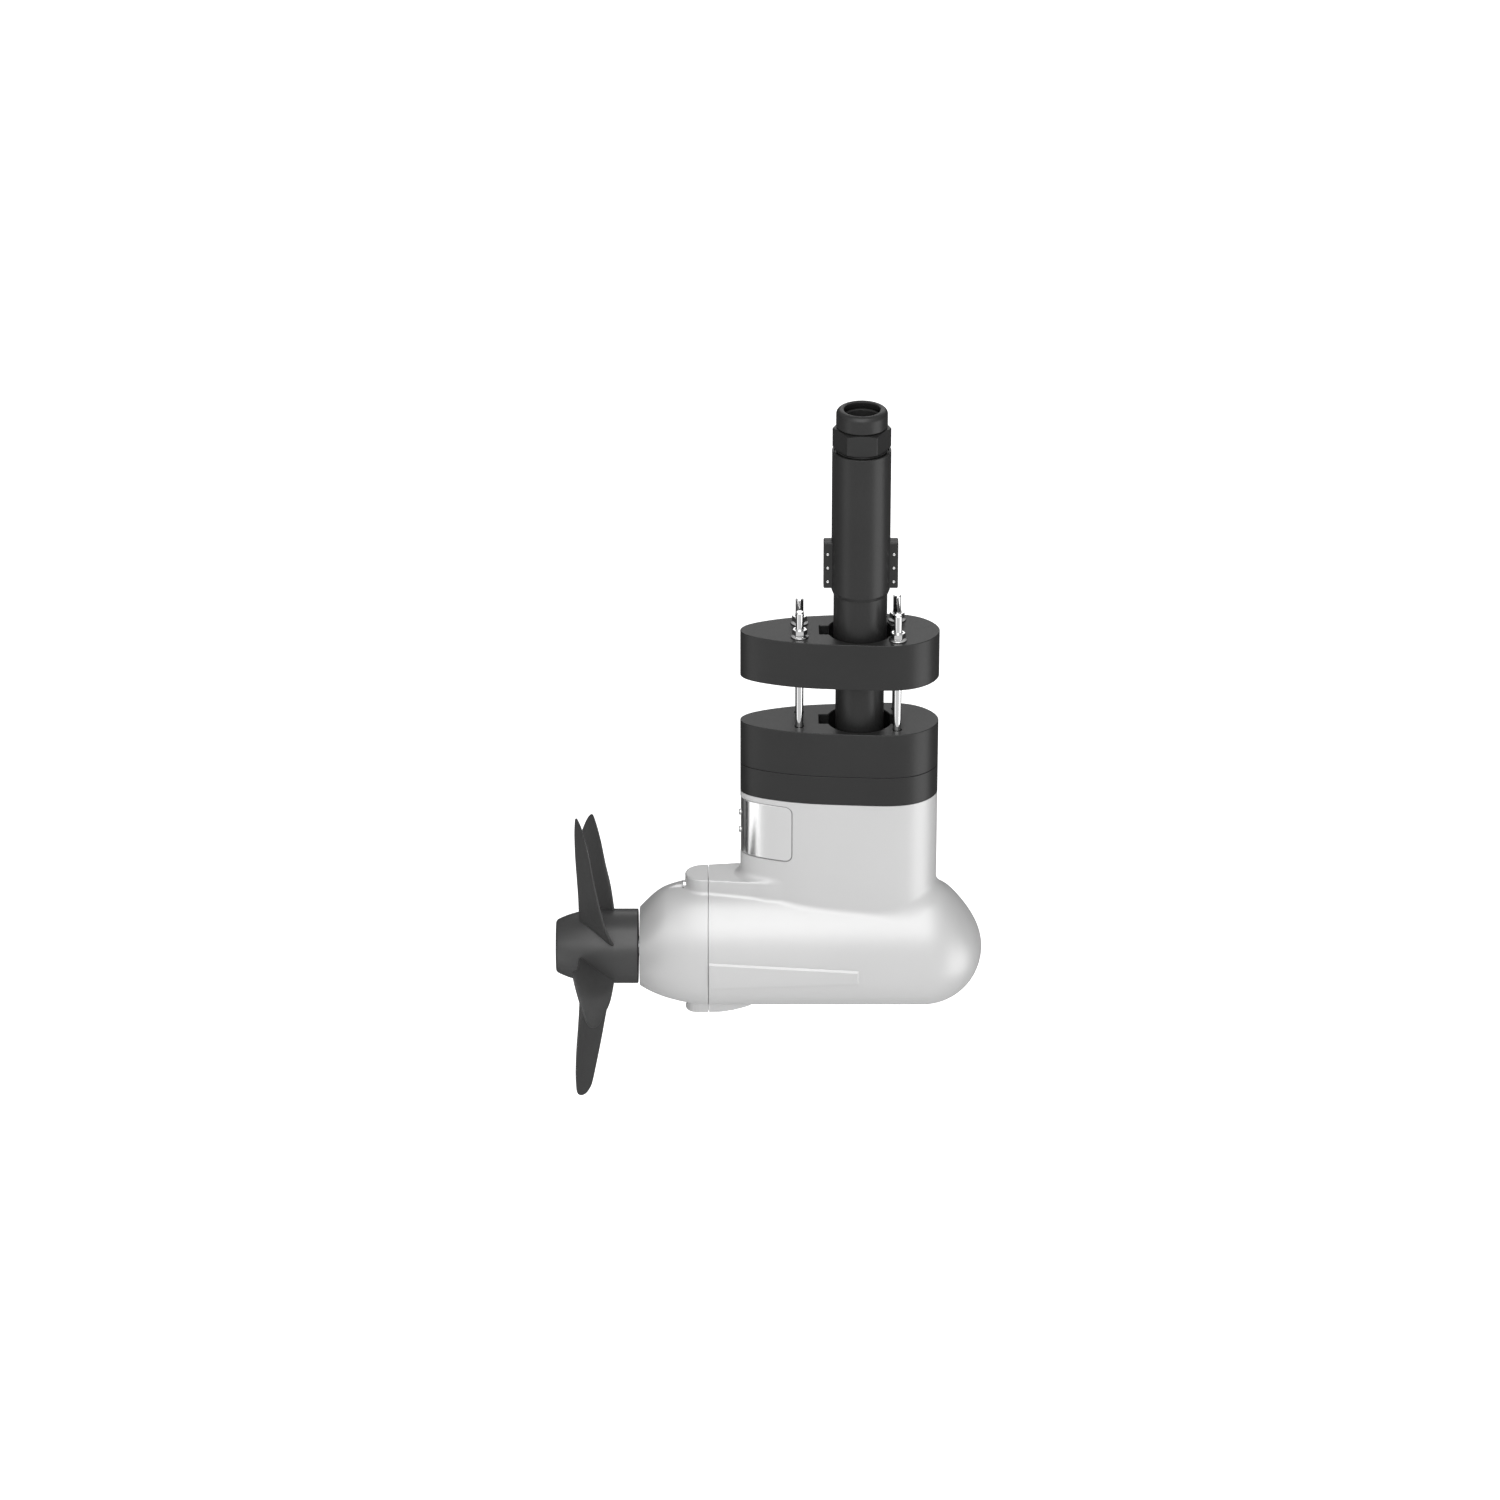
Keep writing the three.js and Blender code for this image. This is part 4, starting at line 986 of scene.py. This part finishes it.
def gland():
    low, high = limits("gland_body")
    cap_low, cap_high = limits("gland_cap")
    seal_low, seal_high = limits("gland_seal")
    washer_low, washer_high = limits("gland_washer")
    hex_low, hex_high = washer_high[2] + GAP, cap_low[2] - GAP
    flats = (high[1] - low[1]) / 2
    corner = flats * 2 / math.sqrt(3)
    angles = np.radians(np.arange(0, 360, 60))
    plan = rounded(np.stack((corner * np.cos(angles), corner * np.sin(angles)), 1), 1.6, 5)
    body = skin("gland_hexagon", [level_ring(plan, z) for z in (hex_low, hex_high)])
    slope, past = 2.4, corner + 1
    crown = [(flats - 0.6, hex_low), (past, hex_low + slope)]
    crown += [(past, hex_high - slope), (flats - 0.4, hex_high)]
    keep(body, turned("crown", crown))
    spigot, cap_thread, bore, mouth = 24.1, 20.7, 16.5, 18.6
    join(
        body,
        rod("spigot", spigot, low[2], hex_low + 2, 0.8),
        rod("thread", cap_thread, hex_high - 2, high[2], 0.6),
    )
    cut(
        body,
        rod("bore", bore, low[2] - 5, seal_low[2]),
        rod("seal_seat", mouth, seal_low[2] - GAP, high[2] + 5),
    )
    finished(body, "black_plastic", "drive", "gland_body")

    outer, roll, lip = cap_high[0], 5.2, 19.0
    foot, top = cap_low[2], cap_high[2]
    arc = np.radians(np.linspace(0, 96, 16))
    profile = [(cap_thread + GAP, foot), (outer - 1.6, foot), (outer - 1.2, foot + 1.0), (outer, foot + 1.5)]
    profile += [(outer - roll + roll * math.cos(a), top - roll + roll * math.sin(a)) for a in arc]
    profile += [(lip - 0.9, top - 0.5), (lip - 1.2, top - 1.4), (lip - 1.0, top - 2.6)]
    profile += [(lip, seal_high[2] + 0.5), (cap_thread + GAP, seal_high[2] - 2.5)]
    finished(turned("gland_dome", profile, closed=True), "black_plastic", "gland_nut", "gland_cap")

    seal = tube("seal_insert", 15.2, seal_high[0], seal_low[2], seal_high[2], 1.1, sides=96)
    finished(seal, "rubber", "drive", "gland_seal")
    washer = tube("washer_disc", 24.6, washer_high[0] - 1.8, washer_low[2], washer_high[2], 0.3)
    finished(washer, "rubber", "drive", "gland_washer")


# -------- propeller
HUB_LOW, HUB_HIGH = limits("propeller")
HUB = {"radius": 37.9, "centre": -255, "length": 70.5, "pocket": 19, "depth": 24, "bore": 8, "pin": -230}
BLADE = {"count": 5, "tip": 151.8, "root": 29, "pitch": 245, "first": 7.6, "x": -285.4, "rake": 4.6,
         "thick": 7.6, "thin": 2.6}
# edge angles in degrees ahead of the blade's own angle, at shares of the tip radius
STATIONS = (0.19, 0.4, 0.55, 0.7, 0.85, 0.95, 0.98, 0.995, 1)
TRAILING = (4, 2, -0.8, -4, -5.9, -5.6, -4.6, -2.6, 1.5)
LEADING = (57, 48.5, 39, 31, 22, 15.5, 11, 6.4, 1.5)


def along_blade(values, station):
    """Value at a station, from a smooth Catmull-Rom curve through the listed ones."""
    points = np.stack((STATIONS, values), 1)
    points = np.concatenate((points[:1], points, points[-1:]))
    t = np.linspace(0, 1, 40, endpoint=False)[:, None]
    curve = []
    for p0, p1, p2, p3 in zip(points, points[1:], points[2:], points[3:]):
        pull_1, pull_2 = (p2 - p0) / 2, (p3 - p1) / 2
        cubic = 2 * p1 - 2 * p2 + pull_1 + pull_2
        square = -3 * p1 + 3 * p2 - 2 * pull_1 - pull_2
        curve.append(cubic * t**3 + square * t**2 + pull_1 * t + p1)
    curve = np.concatenate((*curve, points[-1:]))
    return np.interp(station, curve[:, 0], curve[:, 1])


def blade(index):
    """One blade: a blunt-edged section laid on a helicoid, thickest at the hub."""
    slices, around = 56, 64
    root_station = BLADE["root"] / BLADE["tip"]
    angles = 2 * np.pi * np.arange(around) / around
    chord_place = 0.5 - 0.5 * np.sign(np.cos(angles)) * np.abs(np.cos(angles)) ** 0.9
    lens = np.sign(np.sin(angles)) * np.abs(np.sin(angles)) ** 0.62
    rings = []
    for n in range(slices + 1):
        outwards = 1 - (1 - n / slices) ** 2.6
        station = root_station + (1 - root_station) * outwards * 0.9998
        radius = station * BLADE["tip"]
        trailing, leading = along_blade(TRAILING, station), along_blade(LEADING, station)
        angle = trailing + (leading - trailing) * chord_place
        thickness = BLADE["thick"] + (BLADE["thin"] - BLADE["thick"]) * station
        thickness *= math.sqrt(max(0, 1 - outwards**60))
        offset = 0.5 * thickness * lens
        helix = math.atan2(BLADE["pitch"], 2 * math.pi * radius)
        x = BLADE["x"] + BLADE["pitch"] * angle / 360 + BLADE["rake"] * station + offset * math.cos(helix)
        turn = np.radians(BLADE["first"] + 360 / BLADE["count"] * index + angle)
        turn -= offset * math.sin(helix) / radius
        rings.append(np.stack((x, -radius * np.sin(turn), AXIS_Z + radius * np.cos(turn)), 1))
    return skin(f"blade_{index}", rings)


def propeller():
    aft, fore = HUB_LOW[0], HUB_HIGH[0]
    turns = np.linspace(math.acos((aft - HUB["centre"]) / HUB["length"]), math.pi / 2, 26)
    bulge = [(HUB["radius"] * math.sin(a), HUB["centre"] + HUB["length"] * math.cos(a)) for a in turns]
    rim = bulge[0][0]
    profile = [(rim - 1.6, aft), (rim - 0.7, aft + 0.25), (rim - 0.1, aft + 0.9), *bulge[1:]]
    profile += [(HUB["radius"], fore - 0.8), (HUB["radius"] - 0.8, fore)]
    hub = turned("propeller_casting", profile, **ON_SHAFT)
    pocket_end = aft + HUB["depth"]
    join(hub, *[blade(n) for n in range(BLADE["count"])])
    inside = HUB["pocket"]
    pocket = [(inside + 1, aft - 2), (inside + 1, aft), (inside, aft + 1), (inside, pocket_end)]
    slot, reach = 3.3, 22
    cut(
        hub,
        turned("pocket", pocket, **ON_SHAFT),
        rod("shaft_way", HUB["bore"] + GAP, pocket_end - 1, fore + 5, **ON_SHAFT),
        block("pin_slot", (HUB["pin"] - slot, -slot, AXIS_Z - reach), (fore + 5, slot, AXIS_Z + reach)),
    )
    finished(hub, "propeller_black", "propeller_set", "propeller")

    low, high = limits("prop_nut")
    corner = (high[2] - low[2]) / 2
    hexagon = turned("nut_hexagon", [(corner, low[0]), (corner, high[0])], sides=6, **ON_SHAFT)
    flats = corner * math.cos(math.pi / 6)
    crown = [(flats - 0.4, low[0]), (corner + 0.6, low[0] + 1.6), (corner + 0.6, high[0] + 1)]
    nut = keep(hexagon, turned("nut_crown", crown, **ON_SHAFT))
    cut(nut, rod("nut_bore", 7.2, low[0] - 5, high[0] + 5, sides=64, **ON_SHAFT))
    nut.name = "shaft_nut"
    finished(nut, "bright_steel", "propeller_set", "prop_nut")
    low, high = limits("prop_washer")
    washer = tube("shaft_washer", 8.3, (high[2] - low[2]) / 2, low[0], high[0], 0.3, sides=96, **ON_SHAFT)
    finished(washer, "bright_steel", "propeller_set", "prop_washer")


# -------- shaft, bearings and motor
def motor():
    bearings()
    for node, name in (("winding_aft", "coils_aft"), ("winding_fore", "coils_fore")):
        coils(node, name)
    low, high = limits("tail_seal_ring")
    section = np.radians(np.arange(0, 360, 20))
    middle, thick = (low[0] + high[0]) / 2, (high[0] - low[0]) / 2 - 0.1
    outer = (high[1] - low[1]) / 2 - thick
    section = [(outer + thick * math.cos(a), middle + thick * math.sin(a)) for a in section]
    ring = turned("seam_o_ring", section, closed=True, **ON_SHAFT)
    finished(ring, "rubber", "drive", "tail_seal_ring")
    aft, fore = limits("shaft_seal")[0][0], limits("shaft_seal")[1][0]
    rim, web, outer = 15, aft + 2, 17.4
    seal = [(SHAFT_BORE, aft), (outer, aft), (outer, fore), (rim, fore), (rim, web), (12, web)]
    seal = rounded([*seal, (11.6, fore - 1), (SHAFT_BORE, fore - 2)], 0.3, 3)
    lip_seal = turned("lip_seal", seal, sides=96, closed=True, **ON_SHAFT)
    finished(lip_seal, "rubber", "drive", "shaft_seal")


def bearings():
    """Each bearing: two races, a ring of balls, and a thin cage web that holds them together."""
    race, ball_radius, balls = 3, 3, 9
    for node, name in (("bearing_aft", "ball_bearing_aft"), ("bearing_fore", "ball_bearing_fore")):
        low, high = limits(node)
        outer, inner = (high[2] - low[2]) / 2, SHAFT_BORE
        bearing = tube(name, inner, inner + race, low[0], high[0], 0.5, sides=96, **ON_SHAFT)
        join(bearing, tube("race", outer - race, outer, low[0], high[0], 0.5, sides=96, **ON_SHAFT))
        middle, orbit = (low[0] + high[0]) / 2, (inner + outer) / 2
        join(bearing, tube("cage", inner + 1, outer - 1, middle - 0.6, middle + 0.6, 0, sides=96, **ON_SHAFT))
        arc = np.linspace(0.12, math.pi - 0.12, 14)
        ball = [(ball_radius * math.sin(a), middle - ball_radius * math.cos(a)) for a in arc]
        for n in range(balls):
            turn = 2 * math.pi * n / balls
            centre = (orbit * math.cos(turn), AXIS_Z + orbit * math.sin(turn))
            join(bearing, turned("ball", ball, axis="x", sides=20, centre=centre))
        finished(bearing, "bearing_steel", "drive", node)


def coils(node, name):
    """A ring of end turns: twelve lobes, one for each wound tooth, ribbed like wire."""
    low, high = limits(node)
    outer, middle = (high[2] - low[2]) / 2, (low[0] + high[0]) / 2
    inner = 35
    half_high, half_long = (outer - inner) / 2, (high[0] - low[0]) / 2
    sides, lobes, strands = 288, 12, 14
    turn = 2 * np.pi * np.arange(sides) / sides
    swell = 0.80 + 0.20 * np.abs(np.sin(turn * lobes / 2)) ** 0.6
    rings = []
    for a in np.linspace(0, 2 * math.pi, strands * 6, endpoint=False):
        wire = 1 - 0.05 * (0.5 + 0.5 * math.cos(a * strands))
        radius = (inner + outer) / 2 + half_high * math.sin(a) * swell * wire
        x = middle + half_long * math.cos(a) * swell * wire
        rings.append(np.stack((x, radius * np.cos(turn), AXIS_Z + radius * np.sin(turn)), 1))
    finished(skin(name, rings, closed=True), "copper", "drive", node)


CARRIED_OVER = {
    "bearing_plate": "cast_silver",
    "motor_shaft": "bearing_steel",
    "drive_pin": "bearing_steel",
    "rotor_core": "lamination",
    "stator_core": "lamination",
    "controller_board": "circuit_board",
    **{f"rotor_magnet_{n}": "magnet" for n in range(1, 9)},
}


def carried_over():
    """CAD nodes inside the pod whose shape is right: new material, and edges eased by a modifier."""
    for node, look in CARRIED_OVER.items():
        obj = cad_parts[node]
        if not obj.material_slots:
            obj.data.materials.append(None)
        for material_slot in obj.material_slots:
            material_slot.material = LOOKS[look]
        bevel = obj.modifiers.new("edges", "BEVEL")
        bevel.width = 0.35 * MM
        bevel.segments = 2
        bevel.limit_method = "ANGLE"


# -------- stage, light and camera
def area_light(name, place, target, size, power):
    light = bpy.data.lights.new(name, "AREA")
    light.shape = "RECTANGLE"
    light.size, light.size_y = size
    light.energy = power
    lamp = placed(name, light)
    lamp.location = place
    lamp.rotation_euler = (Vector(target) - Vector(place)).to_track_quat("-Z", "Y").to_euler()


def studio():
    half, level = 60.0, -2.2
    mesh = bpy.data.meshes.new("floor")
    corners = [(-half, -half, level), (half, -half, level), (half, half, level), (-half, half, level)]
    mesh.from_pydata(corners, [], [(0, 1, 2, 3)])
    floor = placed("floor", mesh)
    paint = bpy.data.materials.new("pale_floor")
    paint.use_nodes = True
    inputs = paint.node_tree.nodes["Principled BSDF"].inputs
    inputs["Base Color"].default_value = (0.97, 0.97, 0.97, 1)
    inputs["Roughness"].default_value = 0.9
    inputs["Emission Color"].default_value = (1, 1, 1, 1)
    inputs["Emission Strength"].default_value = 0.75
    mesh.materials.append(paint)
    floor.visible_glossy = False

    world = bpy.data.worlds.new("studio")
    world.use_nodes = True
    bpy.context.scene.world = world
    nodes, links = world.node_tree.nodes, world.node_tree.links
    background = nodes["Background"]
    background.inputs["Strength"].default_value = 1.0
    place = nodes.new("ShaderNodeTexCoord")
    split = nodes.new("ShaderNodeSeparateXYZ")
    links.new(place.outputs["Generated"], split.inputs["Vector"])
    total = nodes.new("ShaderNodeMath")
    links.new(ramp(nodes, links, split.outputs["Y"], -0.75, 0.25, 0.7, 0.1), total.inputs[0])
    links.new(ramp(nodes, links, split.outputs["Z"], 0.1, 0.7, 0, 0.36), total.inputs[1])
    shade = nodes.new("ShaderNodeCombineColor")
    for channel in ("Red", "Green", "Blue"):
        links.new(total.outputs["Value"], shade.inputs[channel])
    links.new(shade.outputs["Color"], background.inputs["Color"])

    area_light("key", (-0.1, -2.5, 1.7), (-0.1, 0, -0.15), (2.2, 1.9), 34)
    area_light("overhead", (-0.1, -1.1, 2.7), (-0.1, 0, -0.15), (2.2, 1.3), 26)
    area_light("low_right", (2.4, -0.8, -1.1), (0, 0, -0.1), (2.0, 1.7), 22)
    area_light("low_left", (-2.4, -1.3, -1.1), (-0.1, 0, -0.1), (1.2, 1.7), 5)
    area_light("left", (-2.2, -2.0, 1.2), (-0.25, 0, -0.25), (1.2, 1.2), 7)
    area_light("back", (0.3, 3.0, 1.5), (0, 0, 0), (2.4, 0.9), 11)


def photo_camera():
    """The camera: 26 degrees above the horizon, square on to the drive's starboard side."""
    elevation, distance = math.radians(26), 6.0
    target = Vector((-0.1091, 0, -0.0345))
    data = bpy.data.cameras.new("camera")
    data.lens, data.sensor_width = 144, 36
    data.clip_start, data.clip_end = 0.1, 200
    camera = placed("camera", data)
    camera.location = target + Vector((0, -math.cos(elevation), math.sin(elevation))) * distance
    camera.rotation_euler = (math.pi / 2 - elevation, 0, 0)
    bpy.context.scene.camera = camera
    bpy.context.scene.view_settings.view_transform = "Standard"


photo_camera()
studio()
silver_castings()
steel_panel()
plates()
tubes()
sleeves()
gland()
studs_and_nuts()
fasteners()
propeller()
motor()
carried_over()
